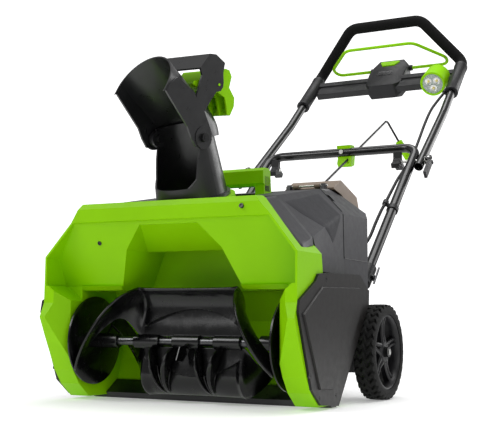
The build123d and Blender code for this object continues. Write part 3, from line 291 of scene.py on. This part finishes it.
# ---------------------------------------------------------------- edge rounding of the CAD mouldings
ROUNDED = {"auger_housing": 1.6, "front_cover": 1.2, "rear_cover": 1.2, "battery_lid": 1.2, "drive_side_cover": 1.0,
           "idle_side_cover": 1.0, "carry_handle": 2.5, "deflector": 0.8, "deflector_trigger": 0.8,
           "control_box": 1.5, "scraper_bar": 0.8, "chassis_base": 1.5, "cam_lever_left": 0.8,
           "cam_lever_right": 0.8, "cam_knobs": 1.0, "crank_bracket": 1.0, "crank_knob": 1.5,
           "handle_sockets": 0.8, "headlamp_body": 1.0}
for name, width in ROUNDED.items():
    node = NODES[name]
    weld = node.modifiers.new("weld", "WELD")
    weld.merge_threshold = 0.00001
    flat = node.modifiers.new("flat_faces", "DECIMATE")
    flat.decimate_type = "DISSOLVE"
    flat.angle_limit = math.radians(1.0)
    edge = node.modifiers.new("edge", "BEVEL")
    edge.width = width * MM
    edge.segments = 2
    edge.limit_method = "ANGLE"
    edge.angle_limit = math.radians(25)
    edge.use_clamp_overlap = True
    edge.harden_normals = False
    node.modifiers.new("normals", "WEIGHTED_NORMAL").keep_sharp = True


# ---------------------------------------------------------------- mesh helpers
JOINTS = {joint["name"]: joint for joint in frame["joints"]}


def lerp(a, b, t):
    """The value a share t of the way from a to b."""
    return a + (b - a) * t


def smooth(t):
    """A soft step from 0 to 1, clamped outside."""
    t = min(1.0, max(0.0, t))
    return t * t * (3 - 2 * t)


def mesh_object(name, points, faces, material, body, bevel=0.0, smooth_angle=35.0, solid=0.0, offset=0.0):
    """A piece from points and faces, in metres, riding on a body."""
    mesh = bpy.data.meshes.new(name)
    mesh.from_pydata([tuple(p) for p in points], [], faces)
    bm = bmesh.new()
    bm.from_mesh(mesh)
    bmesh.ops.remove_doubles(bm, verts=bm.verts, dist=1e-6)
    bmesh.ops.recalc_face_normals(bm, faces=bm.faces)
    bm.to_mesh(mesh)
    bm.free()
    piece = bpy.data.objects.new(name, mesh)
    bpy.context.scene.collection.objects.link(piece)
    mesh.materials.append(M[material])
    if solid:
        thick = piece.modifiers.new("wall", "SOLIDIFY")
        thick.thickness = solid
        thick.offset = offset
        thick.use_even_offset = True
    if bevel:
        edge = piece.modifiers.new("edge", "BEVEL")
        edge.width = bevel
        edge.segments = 3
        edge.limit_method = "ANGLE"
        edge.angle_limit = math.radians(30)
    mesh.shade_smooth()
    mesh.set_sharp_from_angle(angle=math.radians(smooth_angle))
    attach(piece, body)
    return piece


def grid_faces(rows, columns, wrap_rows=False, wrap_columns=False):
    """Quads of a rows x columns grid of points."""
    faces = []
    for i in range(rows if wrap_rows else rows - 1):
        for j in range(columns if wrap_columns else columns - 1):
            a, b = i * columns + j, i * columns + (j + 1) % columns
            k = (i + 1) % rows
            faces.append((a, b, k * columns + (j + 1) % columns, k * columns + j))
    return faces


def extruded(outline_low, outline_high):
    """Points and faces of a solid between two matching outlines."""
    count = len(outline_low)
    points = list(outline_low) + list(outline_high)
    faces = [tuple(range(count)), tuple(range(2 * count - 1, count - 1, -1))]
    faces += [(i, (i + 1) % count, count + (i + 1) % count, count + i) for i in range(count)]
    return points, faces


def ring_solid(origin, axis, side, profile, steps=64):
    """Points and faces of a closed profile of (along, radius) turned round an axis."""
    axis, side = Vector(axis).normalized(), Vector(side).normalized()
    other = axis.cross(side)
    points = []
    for i in range(steps):
        angle = 2 * math.pi * i / steps
        out = side * math.cos(angle) + other * math.sin(angle)
        points += [Vector(origin) + axis * along + out * radius for along, radius in profile]
    return points, grid_faces(steps, len(profile), True, True)


# ---------------------------------------------------------------- auger
AUGER_AT = Vector(JOINTS["auger_spin"]["pos_m"])
PADDLE_EDGE = 0.0985
PADDLE_SPAN = 0.105
PADDLE_SHIFT = 0.018
DISC_X = 0.203
HUB_R = 0.0135
PADDLE_COLUMNS, PADDLE_ROWS = 28, 141
HALF_COLUMNS = PADDLE_COLUMNS // 2


def polar(x, radius, degrees):
    """A point beside the auger's shaft; 0 degrees is forwards and 90 is up."""
    angle = math.radians(degrees)
    return Vector((x, AUGER_AT.y - radius * math.cos(angle), AUGER_AT.z + radius * math.sin(angle)))


def scoop_angle(radius):
    """Where the scoop's hollow face stands round the shaft, in degrees."""
    out = radius / PADDLE_EDGE
    return 72.0 + 42.0 * out * (1.0 - out) * 2.0 + 8.0 * out


def paddle_row(x, turn):
    """A row of the scoop and its ribbons from the shaft to the outer edge, with a stepped crescent between."""
    reach = abs(x - PADDLE_SHIFT * (1.0 - smooth(abs(x) / DISC_X)))
    end = max(0.0, (reach - PADDLE_SPAN) / (DISC_X - PADDLE_SPAN))
    middle = 1.0 - min(1.0, reach / PADDLE_SPAN) ** 2
    edge = lerp(PADDLE_EDGE + 0.0020 * (1 - middle), 0.086, smooth(end))
    inner = lerp(0.0086, 0.056, smooth(end * 3.0))
    crease = max(inner + 0.002, lerp(0.026, 0.060, middle))
    step = 0.0055 * (1.0 - smooth(end * 4)) * smooth(middle * 4)
    row = []
    for k in range(PADDLE_COLUMNS):
        if k < HALF_COLUMNS:
            radius, forward = lerp(inner, crease, k / (HALF_COLUMNS - 1)), 0.0
        else:
            radius, forward = lerp(crease + 0.0015, edge, (k - HALF_COLUMNS) / (HALF_COLUMNS - 1)), step
        degrees = scoop_angle(radius) - math.degrees(forward / radius) - 128.0 * end ** 0.85
        row.append(polar(x, radius, degrees + turn))
    return row


def make_paddle(name, turn, node):
    """One scoop with its ribbons out to the end discs, and the four fins behind it."""
    points = []
    for i in range(PADDLE_ROWS):
        x = lerp(-DISC_X, DISC_X, i / (PADDLE_ROWS - 1))
        points += paddle_row(x, turn)
    scoop = mesh_object(name, points, grid_faces(PADDLE_ROWS, PADDLE_COLUMNS), "auger", "auger", solid=0.0038,
                        smooth_angle=50)
    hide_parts(node)
    for side in (1, -1):
        for hub_x, tip_x in ((0.072, 0.051), (0.026, 0.043)):
            count = 14
            low, high = [], []
            for k in range(count):
                t = k / (count - 1)
                x = side * lerp(hub_x, tip_x, t)
                back = 0.030 * math.sin(math.pi * min(1.0, t * 0.86 + 0.14)) + 0.002
                radius = lerp(HUB_R, PADDLE_EDGE - 0.004, t)
                degrees = scoop_angle(radius)
                low.append(polar(x, radius, degrees + turn))
                high.append(polar(x, radius, degrees + turn + math.degrees(back / max(radius, 0.02))))
            points = [p for pair in zip(low, high) for p in pair]
            fin = mesh_object(f"{name}_fin_{'l' if side > 0 else 'r'}{round(hub_x * 1000)}", points,
                              grid_faces(count, 2), "auger", "auger", solid=0.0024, smooth_angle=50)
            fin.parent = scoop


make_paddle("auger_scoop_upper", 0.0, "auger_paddle_upper")
make_paddle("auger_scoop_lower", 180.0, "auger_paddle_lower")
for side in (1, -1):
    label = "left" if side > 0 else "right"
    disc = [(-0.002, HUB_R - 0.004), (0.002, HUB_R - 0.004), (0.002, 0.040), (0.005, 0.078), (0.005, 0.083),
            (0.002, 0.083), (-0.001, 0.078), (-0.002, 0.040)]
    points, faces = ring_solid((side * DISC_X, AUGER_AT.y, AUGER_AT.z), (side, 0, 0), (0, 1, 0), disc, 72)
    mesh_object(f"auger_end_disc_{label}", points, faces, "auger", "auger")
for label, low_x, high_x in (("right", -0.112, -0.058), ("middle", -0.028, 0.028), ("left", 0.058, 0.112),
                             ("end_left", 0.150, 0.218), ("end_right", -0.218, -0.150)):
    sleeve = [(low_x, 0.0085), (high_x, 0.0085), (high_x, HUB_R - 0.001), (high_x - 0.001, HUB_R),
              (low_x + 0.001, HUB_R), (low_x, HUB_R - 0.001)]
    points, faces = ring_solid((0, AUGER_AT.y, AUGER_AT.z), (1, 0, 0), (0, 1, 0), sleeve, 40)
    mesh_object(f"auger_sleeve_{label}", points, faces, "auger", "auger")
for turn, label in ((0, "upper"), (180, "lower")):
    fin = [polar(0, r, d + turn) for r, d in ((0.012, 150), (0.030, 165), (0.052, 142), (0.040, 118),
                                             (0.022, 100))]
    points, faces = extruded([p - Vector((0.0013, 0, 0)) for p in fin], [p + Vector((0.0013, 0, 0)) for p in fin])
    mesh_object(f"auger_centre_fin_{label}", points, faces, "auger", "auger", bevel=0.0005)


# ---------------------------------------------------------------- wheels
WHEEL_R = 0.092
TREAD_BLOCKS = 34
TREAD_DEPTH = 0.0042
SPOKES = 5


def tread_height(angle, across):
    """Height of the tread blocks at an angle and a place across the tyre, -1 to 1."""
    zigzag = abs(((across * 1.5 + 2) % 1.0) - 0.5) * 0.9
    phase = (angle / (2 * math.pi) * TREAD_BLOCKS + zigzag + (0.5 if across > 0 else 0.0)) % 1.0
    block = smooth((phase - 0.08) / 0.10) * smooth((0.80 - phase) / 0.10)
    middle = 1.0 - smooth((abs(across) - 0.10) / 0.12)
    return max(block, middle * 0.8)


def make_tyre(side, label):
    """Tyre with tread blocks in two offset rows; the section is (share of half width, radius)."""
    low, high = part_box(f"tyre_{label}")
    centre = (low + high) / 2
    half = (high.x - low.x) / 2
    section = [(-0.92, 0.0722), (-0.99, 0.076), (-1.0, 0.081), (-0.94, 0.0865)]
    across = [-0.88 + 1.76 * i / 22 for i in range(23)]
    points, count = [], len(section) * 2 + len(across) + 1
    steps = 408
    for i in range(steps):
        angle = 2 * math.pi * i / steps
        out = Vector((0, math.cos(angle), math.sin(angle)))
        ring = list(section)
        ring += [(u, WHEEL_R - TREAD_DEPTH - 0.0016 * u ** 4 + TREAD_DEPTH * tread_height(angle, u)) for u in across]
        ring += [(-u, r) for u, r in reversed(section)]
        ring.append((0.0, 0.0715))
        points += [centre + Vector((side * u * half, 0, 0)) + out * r for u, r in ring]
    tyre = mesh_object(f"tyre_tread_{label}", points, grid_faces(steps, count, True, True), "tyre",
                       f"wheel_{label}", smooth_angle=32)
    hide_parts(f"tyre_{label}")


def make_rim(side, label):
    """Deep rim with five twin-bladed spokes and a bossed hub."""
    low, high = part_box(f"wheel_rim_{label}")
    centre = (low + high) / 2
    out_x = (high.x - low.x) / 2
    body = f"wheel_{label}"
    ring = [(-out_x, 0.0712), (out_x, 0.0716), (out_x + 0.0005, 0.069), (out_x - 0.003, 0.0665),
            (out_x - 0.012, 0.0645), (-out_x + 0.003, 0.0645), (-out_x, 0.067)]
    points, faces = ring_solid(centre, (side, 0, 0), (0, 1, 0), ring, 96)
    rim = mesh_object(f"rim_ring_{label}", points, faces, "rim", body)
    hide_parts(f"wheel_rim_{label}")
    face = out_x - 0.006
    hub = [(-out_x, 0.0062), (face - 0.001, 0.0062), (face + 0.001, 0.011), (face + 0.001, 0.0185),
           (face - 0.003, 0.0215), (-out_x, 0.0195)]
    points, faces = ring_solid(centre, (side, 0, 0), (0, 1, 0), hub, 60)
    mesh_object(f"rim_hub_{label}", points, faces, "rim", body)
    for k in range(SPOKES):
        angle = math.radians(k * 360 / SPOKES + 18)
        along = Vector((0, math.cos(angle), math.sin(angle)))
        across = Vector((0, -math.sin(angle), math.cos(angle)))
        lift = Vector((side, 0, 0))
        sections = []
        for radius, width, top, depth in ((0.018, 0.0125, face, 0.016), (0.034, 0.0088, face - 0.0035, 0.013),
                                          (0.052, 0.0078, face - 0.0035, 0.012), (0.066, 0.0095, face, 0.014)):
            base = centre + along * radius
            sections.append([base + across * u * width + lift * (top - drop * depth)
                             for u, drop in ((-1, 1), (-1, 0.16), (-0.72, 0), (-0.34, 0.02), (0, 0.34),
                                             (0.34, 0.02), (0.72, 0), (1, 0.16), (1, 1))])
        count = len(sections[0])
        points = [p for section in sections for p in section]
        faces = grid_faces(4, count, False, True) + [tuple(range(count)), tuple(range(3 * count, 4 * count))]
        mesh_object(f"rim_spoke_{label}_{k}", points, faces, "rim", body, bevel=0.0006, smooth_angle=40)
        spot = centre + Vector((0, math.cos(angle + 0.63), math.sin(angle + 0.63))) * 0.0148
        hole = [(face - 0.0005, 0.0001), (face + 0.0014, 0.0001), (face + 0.0014, 0.0018), (face - 0.0005, 0.0021)]
        points, faces = ring_solid(spot, (side, 0, 0), (0, 1, 0), hole, 14)
        mesh_object(f"rim_boss_{label}_{k}", points, faces, "gloss", body)


for side, label in ((1, "left"), (-1, "right")):
    make_tyre(side, label)
    make_rim(side, label)


# ---------------------------------------------------------------- power cable
CABLE_R = 0.0036
CABLE_LAST = (193, 884, 726), (198, 927, 755)


def cable_points():
    """The route of the cable from the rear cover to the control box, in metres."""
    route = [(166, 334, 309), (166, 360, 309), (171, 390, 314), (175, 418, 334), (177, 446, 364), (180, 474, 394),
             (182, 502, 418), (181, 544, 448), (180, 590, 480), (181, 620, 500), (183, 651, 521), (185, 690, 549),
             (186, 736, 595), (186, 790, 648), (188, 838, 692), *CABLE_LAST]
    return [Vector(p) * MM for p in route]


def tube_along(name, path, radius, material, steps=6, sides=16):
    """A round tube that runs smoothly through the points of a path."""
    line = []
    count = len(path)
    for i in range(count - 1):
        a, b = path[max(i - 1, 0)], path[i]
        c, d = path[i + 1], path[min(i + 2, count - 1)]
        for k in range(steps):
            t = k / steps
            line.append(0.5 * (2 * b + (c - a) * t + (2 * a - 5 * b + 4 * c - d) * t * t
                               + (3 * b - a - 3 * c + d) * t ** 3))
    line.append(path[-1])
    points = []
    side = Vector((0.2, 0.5, -0.8))
    for i, spot in enumerate(line):
        ahead = (line[min(i + 1, len(line) - 1)] - line[max(i - 1, 0)]).normalized()
        side = (side - ahead * side.dot(ahead)).normalized()
        other = ahead.cross(side)
        points += [spot + side * radius * math.cos(2 * math.pi * k / sides)
                   + other * radius * math.sin(2 * math.pi * k / sides) for k in range(sides)]
    faces = grid_faces(len(line), sides, False, True)
    faces += [tuple(range(sides)), tuple(range((len(line) - 1) * sides, len(line) * sides))]
    mesh = bpy.data.meshes.new(name)
    mesh.from_pydata([tuple(p) for p in points], [], faces)
    mesh.materials.append(M[material])
    mesh.shade_smooth()
    tube = bpy.data.objects.new(name, mesh)
    bpy.context.scene.collection.objects.link(tube)
    return tube


def rounded_path(corners, radius, steps=7):
    """Straight runs with the corners rounded, in metres."""
    line = [corners[0]]
    for before, corner, after in zip(corners, corners[1:], corners[2:]):
        start = corner + (before - corner).normalized() * radius
        end = corner + (after - corner).normalized() * radius
        for k in range(steps + 1):
            t = k / steps
            line.append(start * (1 - t) ** 2 + corner * 2 * t * (1 - t) + end * t ** 2)
    return line + [corners[-1]]


power_cable = tube_along("power_cable", cable_points(), CABLE_R, "cable")
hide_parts("power_cable_lower", "power_cable_upper")
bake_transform(power_cable)


# ---------------------------------------------------------------- body cover details
PANEL_CORNERS = [(0.26, 0.88), (0.93, 0.88), (0.95, -0.08), (0.73, -0.68)]  # (along, up), as cover_spot takes them


def cover_spot(side, along, up, lift=0.0):
    """A point of the front cover's side; along runs backwards, up is above (+) or below (-) the body's crease."""
    crease = lerp(Vector((252, -125, 274)), Vector((234, 113, 355)), along)
    if up >= 0:
        spot = lerp(crease, lerp(Vector((177, -125, 361)), Vector((187, 113, 403)), along), up)
        out = Vector((0.70, -0.24, 0.67))
    else:
        spot = lerp(crease, lerp(Vector((256, -125, 266)), Vector((236, 113, 268)), along), -up)
        out = Vector((0.99, 0.07, 0.05))
    spot = spot + out * lift
    return Vector((side * spot.x, spot.y, spot.z)) * MM


def cover_panel(side, label):
    """Grained panel let into the slanted side of the front cover, with a soft rim."""
    rows = 22
    points = []
    for i in range(rows):
        for j in range(rows):
            u, v = i / (rows - 1), j / (rows - 1)
            low = lerp(Vector(PANEL_CORNERS[0]), Vector(PANEL_CORNERS[1]), u)
            high = lerp(Vector(PANEL_CORNERS[3]), Vector(PANEL_CORNERS[2]), u)
            spot = lerp(low, high, v)
            border = min(u, 1 - u, v, 1 - v)
            points.append(cover_spot(side, spot.x, spot.y, -0.6 + 1.7 * smooth(border / 0.10)))
    mesh_object(f"cover_panel_{label}", points, grid_faces(rows, rows), "inset", "root", smooth_angle=60,
                solid=0.0010, offset=-1.0)


def cover_skirt(side, label):
    """The front cover's leading edge, tucked under the hood."""
    points = [cover_spot(side, lerp(0.03, 0.27, i / 6), lerp(-0.5, 0.995, j / 24), -0.5)
              for i in range(7) for j in range(25)]
    mesh_object(f"cover_skirt_{label}", points, grid_faces(7, 25), "grey", "root", smooth_angle=30, solid=0.0012,
                offset=0.0)


def cover_seam(side, label):
    """The dark gap round the rear cover's side."""
    corners = [(187, 113.3, 403), (234.2, 113.3, 355), (236.1, 113.3, 268.4), (236.1, 236, 268.4)]
    path = [Vector((side * x, y, z)) * MM for x, y, z in corners]
    seam = tube_along(f"cover_seam_{label}", rounded_path(path, 0.006), 0.0009, "wire", steps=1, sides=8)
    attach(seam, "root")


for side, label in ((1, "left"), (-1, "right")):
    cover_panel(side, label)
    cover_skirt(side, label)
    cover_seam(side, label)

for label, spot, axis in (("lip", (154, -148.6, 346), (0, -0.97, 0.25)),
                          ("chamber", (-155, -122.5, 292), (0, -0.92, -0.4))):
    head = [(-0.004, 0.0001), (-0.0004, 0.0001), (-0.0004, 0.0022), (0.0008, 0.0028), (0.0008, 0.0040),
            (-0.004, 0.0040)]
    points, faces = ring_solid(Vector(spot) * MM, axis, (1, 0, 0), head, 24)
    mesh_object(f"hood_screw_{label}", points, faces, "wire", "root")
for k in range(4):
    low_y = 46 + k * 5.2
    blade = [Vector((103.1, low_y, 396)), Vector((103.1, low_y + 2.2, 396)), Vector((103.1, low_y + 0.2, 424)),
             Vector((103.1, low_y - 2.0, 424))]
    points, faces = extruded([p * MM for p in blade], [(p + Vector((0.9, 0, 0))) * MM for p in blade])
    mesh_object(f"carry_slot_left_{k}", points, faces, "black", "root")
    mirror_points = [Vector((-p.x, p.y, p.z)) for p in points]
    mesh_object(f"carry_slot_right_{k}", mirror_points, faces, "black", "root")


# ---------------------------------------------------------------- controls
BAIL_HINGE = (1080, 873)  # y, z; the bar's first run lies on the joint's axis, inside the bushes
half_bail = [Vector(p) * MM for p in ((44, *BAIL_HINGE), (163, *BAIL_HINGE), (172, 1050, 883), (99, 968, 913))]
bail_path = half_bail + [Vector((-p.x, p.y, p.z)) for p in reversed(half_bail)]
bail = tube_along("bail_bar", rounded_path(bail_path, 0.017), 0.0044, "green_trim", steps=1)
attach(bail, "bail")
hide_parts("bail_lever")

POD = [(980, 806), (1006, 774), (1062, 788), (1108, 852), (1104, 888), (1084, 902), (1030, 862)]
points = []
for x, size in ((-54, 0.66), (-36, 1.0), (36, 1.0), (54, 0.66)):
    points += [Vector((x, 1050 + (y - 1050) * size, 840 + (z - 840) * size)) * MM for y, z in POD]
count = len(POD)
faces = grid_faces(4, count, False, True) + [tuple(range(count)), tuple(range(3 * count, 4 * count))]
pod = mesh_object("control_pod", points, faces, "control", "upper_handle", bevel=0.0018, smooth_angle=30)
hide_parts("control_box")
ARM = [(990, 800), (1006, 788), (1040, 812), (1036, 838), (1018, 840), (1009, 827.5), (1011.5, 824.5),
       (1006.5, 817.5), (1002, 817.5)]
points, faces = extruded([Vector((-200, y, z)) * MM for y, z in ARM], [Vector((200, y, z)) * MM for y, z in ARM])
mesh_object("control_arm", points, faces, "control", "upper_handle", bevel=0.0012, smooth_angle=30)
for side, label in ((1, "left"), (-1, "right")):
    run = Vector((side * (213 - 217), 1062 - 850, 868 - 683)).normalized()
    start = Vector((side * 217, 850, 683)) + run * ((931 - 850) / run.y)
    long = (1042 - 931) / run.y * MM
    clamp = [(0, 0.0112), (0, 0.0170), (0.0014, 0.0182), (0.0075, 0.0182), (0.009, 0.0172), (long - 0.012, 0.0172),
             (long - 0.0105, 0.0182), (long - 0.0014, 0.0182), (long, 0.0170), (long, 0.0112)]
    points, faces = ring_solid(start * MM, run, (1, 0, 0), clamp, 56)
    mesh_object(f"control_clamp_{label}", points, faces, "control", "upper_handle")
    bush = [(0, 0.0045), (0, 0.0074), (0.0012, 0.0084), (0.012, 0.0084), (0.0132, 0.0074), (0.0132, 0.0045)]
    points, faces = ring_solid(Vector((side * 49, *BAIL_HINGE)) * MM, (side, 0, 0), (0, 1, 0), bush, 32)
    mesh_object(f"bail_bush_{label}", points, faces, "black", "upper_handle")
boot_way = (Vector(CABLE_LAST[1]) - Vector(CABLE_LAST[0])).normalized()
boot = [(0, CABLE_R), (0, 0.0052), (0.002, 0.0062), (0.038, 0.0062), (0.038, CABLE_R)]
points, faces = ring_solid(Vector(CABLE_LAST[1]) * MM, boot_way, (1, 0, 0), boot, 28)
mesh_object("cable_boot", points, faces, "cable", "upper_handle")

BUTTON_OUT = Vector((0, -0.633, 0.774))
BUTTON_UP = Vector((0, 0.774, 0.633))


def button_spot(u, v, lift):
    """A point over the pod's sloping top, in metres."""
    return (Vector((u, 1062, 884)) + BUTTON_UP * v + BUTTON_OUT * lift) * MM


outline = [(-28, 13), (-29, 8), (-19, -13), (19, -13), (29, 8), (28, 13)]
points, faces = extruded([button_spot(u, v, -3.0) for u, v in outline],
                         [button_spot(u * 0.97, v * 0.96, 5.2) for u, v in outline])
button = mesh_object("button_cap", points, faces, "green_trim", "start_button", bevel=0.0012, smooth_angle=30)
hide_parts("start_button")
plate = [(-23, 0.66), (23, 0.66), (21, 0.90), (-21, 0.90)]
face_out = Vector((0, -0.746, 0.666))
plate_low = [Vector((u, lerp(980, 1030, t), lerp(806, 862, t))) for u, t in plate]
points, faces = extruded([p * MM for p in plate_low], [(p + face_out * 0.8) * MM for p in plate_low])
mesh_object("label_plate", points, faces, "label", "upper_handle", bevel=0.0002)


# ---------------------------------------------------------------- headlamp
LAMP_AT = Vector((158, 955, 789)) * MM
LAMP_OUT = Vector((0, -0.848, -0.530)).normalized()
LAMP_UP = LAMP_OUT.cross(Vector((1, 0, 0))).normalized()
if LAMP_UP.z < 0:
    LAMP_UP = -LAMP_UP


def lamp_ring(name, profile, material, u=0.0, v=0.0, steps=48):
    """A turned piece on or beside the lamp's axis; profile is in millimetres."""
    origin = LAMP_AT + (Vector((1, 0, 0)) * u + LAMP_UP * v) * MM
    points, faces = ring_solid(origin, LAMP_OUT, (1, 0, 0), [(a * MM, r * MM) for a, r in profile], steps)
    return mesh_object(name, points, faces, material, "upper_handle")


lamp_ring("lamp_bezel", [(-5, 27.6), (0.2, 27.8), (1.2, 28.6), (1.6, 31), (0.8, 33.4), (-1, 34.3), (-8, 34.3),
                         (-8, 27.6)], "green_trim")
face = lamp_ring("lamp_face", [(-5, 0.1), (-3.4, 0.1), (-3.4, 27.7), (-5, 27.7)], "lamp_face")
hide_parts("headlamp_reflector")
lens = lamp_ring("lamp_glass", [(0.1, 0.1), (1.3, 0.1), (0.9, 16), (0.3, 27.9), (-0.9, 27.9), (-0.2, 16)], "lens")
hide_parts("headlamp_lens")
for k, (u, v) in enumerate(((-11.5, 6.8), (11.5, 6.8), (0, -13.2))):
    lamp_ring(f"lamp_cup_{k}", [(-3.4, 3.0), (-2.9, 5.2), (-0.9, 9.0), (-0.9, 9.9), (-3.4, 9.9)], "mirror", u, v, 36)
    lamp_ring(f"lamp_led_{k}", [(-3.4, 0.1), (-0.9, 0.1), (-1.3, 2.2), (-2.2, 3.2), (-3.4, 3.2)], "led", u, v, 24)


# ---------------------------------------------------------------- studio
def area_light(name, position, target, size, power):
    """A white soft box aimed at a point."""
    data = bpy.data.lights.new(name, "AREA")
    data.shape = "RECTANGLE"
    data.size, data.size_y = size
    data.energy = power
    light = bpy.data.objects.new(name, data)
    light.location = position
    direction = Vector(target) - Vector(position)
    light.rotation_euler = direction.to_track_quat("-Z", "Y").to_euler()
    bpy.context.scene.collection.objects.link(light)


def make_studio():
    """Pale floor that fades out, a plain white surround and soft lights."""
    bpy.ops.mesh.primitive_plane_add(size=12, location=(0, 0.3, 0))
    floor = bpy.context.object
    floor.name = "studio_floor"
    n = Nodes("pale_floor")
    cloud = n.noise(1.5, 2.0)
    reach = n.new("ShaderNodeVectorMath", operation="LENGTH")
    n.link(n.coords, reach.inputs[0])
    n.set(Base_Color=n.mix(cloud, (0.86, 0.86, 0.86, 1.0), (0.9, 0.9, 0.9, 1.0)), Roughness=0.8,
          Specular_IOR_Level=0.1, Emission_Color=(1.0, 1.0, 1.0, 1.0), Emission_Strength=0.28,
          Alpha=n.ramp(reach.outputs["Value"], 1.0, 0.0, 1.0, 2.2))
    floor.data.materials.append(n.material)
    bpy.ops.mesh.primitive_uv_sphere_add(segments=48, ring_count=24, radius=14, location=(0, 0, 0))
    surround = bpy.context.object
    surround.name = "studio_surround"
    n = Nodes("white_surround")
    n.set(Base_Color=n.mix(n.noise(0.4, 1.0), (0.9, 0.9, 0.9, 1.0), (0.92, 0.92, 0.92, 1.0)), Roughness=1.0,
          Specular_IOR_Level=0.0, Emission_Color=(1.0, 1.0, 1.0, 1.0), Emission_Strength=1.0)
    surround.data.materials.append(n.material)
    surround.visible_diffuse = surround.visible_glossy = False
    surround.visible_transmission = surround.visible_shadow = False
    target = (0, 0.3, 0.35)
    area_light("key_light", (-1.9, -2.3, 2.6), target, (1.6, 1.6), 52)
    area_light("fill_light", (2.6, -2.0, 1.6), target, (1.6, 2.4), 20)
    area_light("top_light", (0.2, 0.6, 3.2), target, (2.6, 2.0), 62)
    area_light("rim_light", (1.6, 3.0, 1.6), target, (2.4, 1.4), 26)
    world = bpy.data.worlds.new("studio_world")
    world.use_nodes = True
    background = world.node_tree.nodes["Background"]
    background.inputs["Color"].default_value = (1.0, 1.0, 1.0, 1.0)
    background.inputs["Strength"].default_value = 0.38
    bpy.context.scene.world = world


make_studio()
bpy.context.scene.view_settings.view_transform = "Standard"
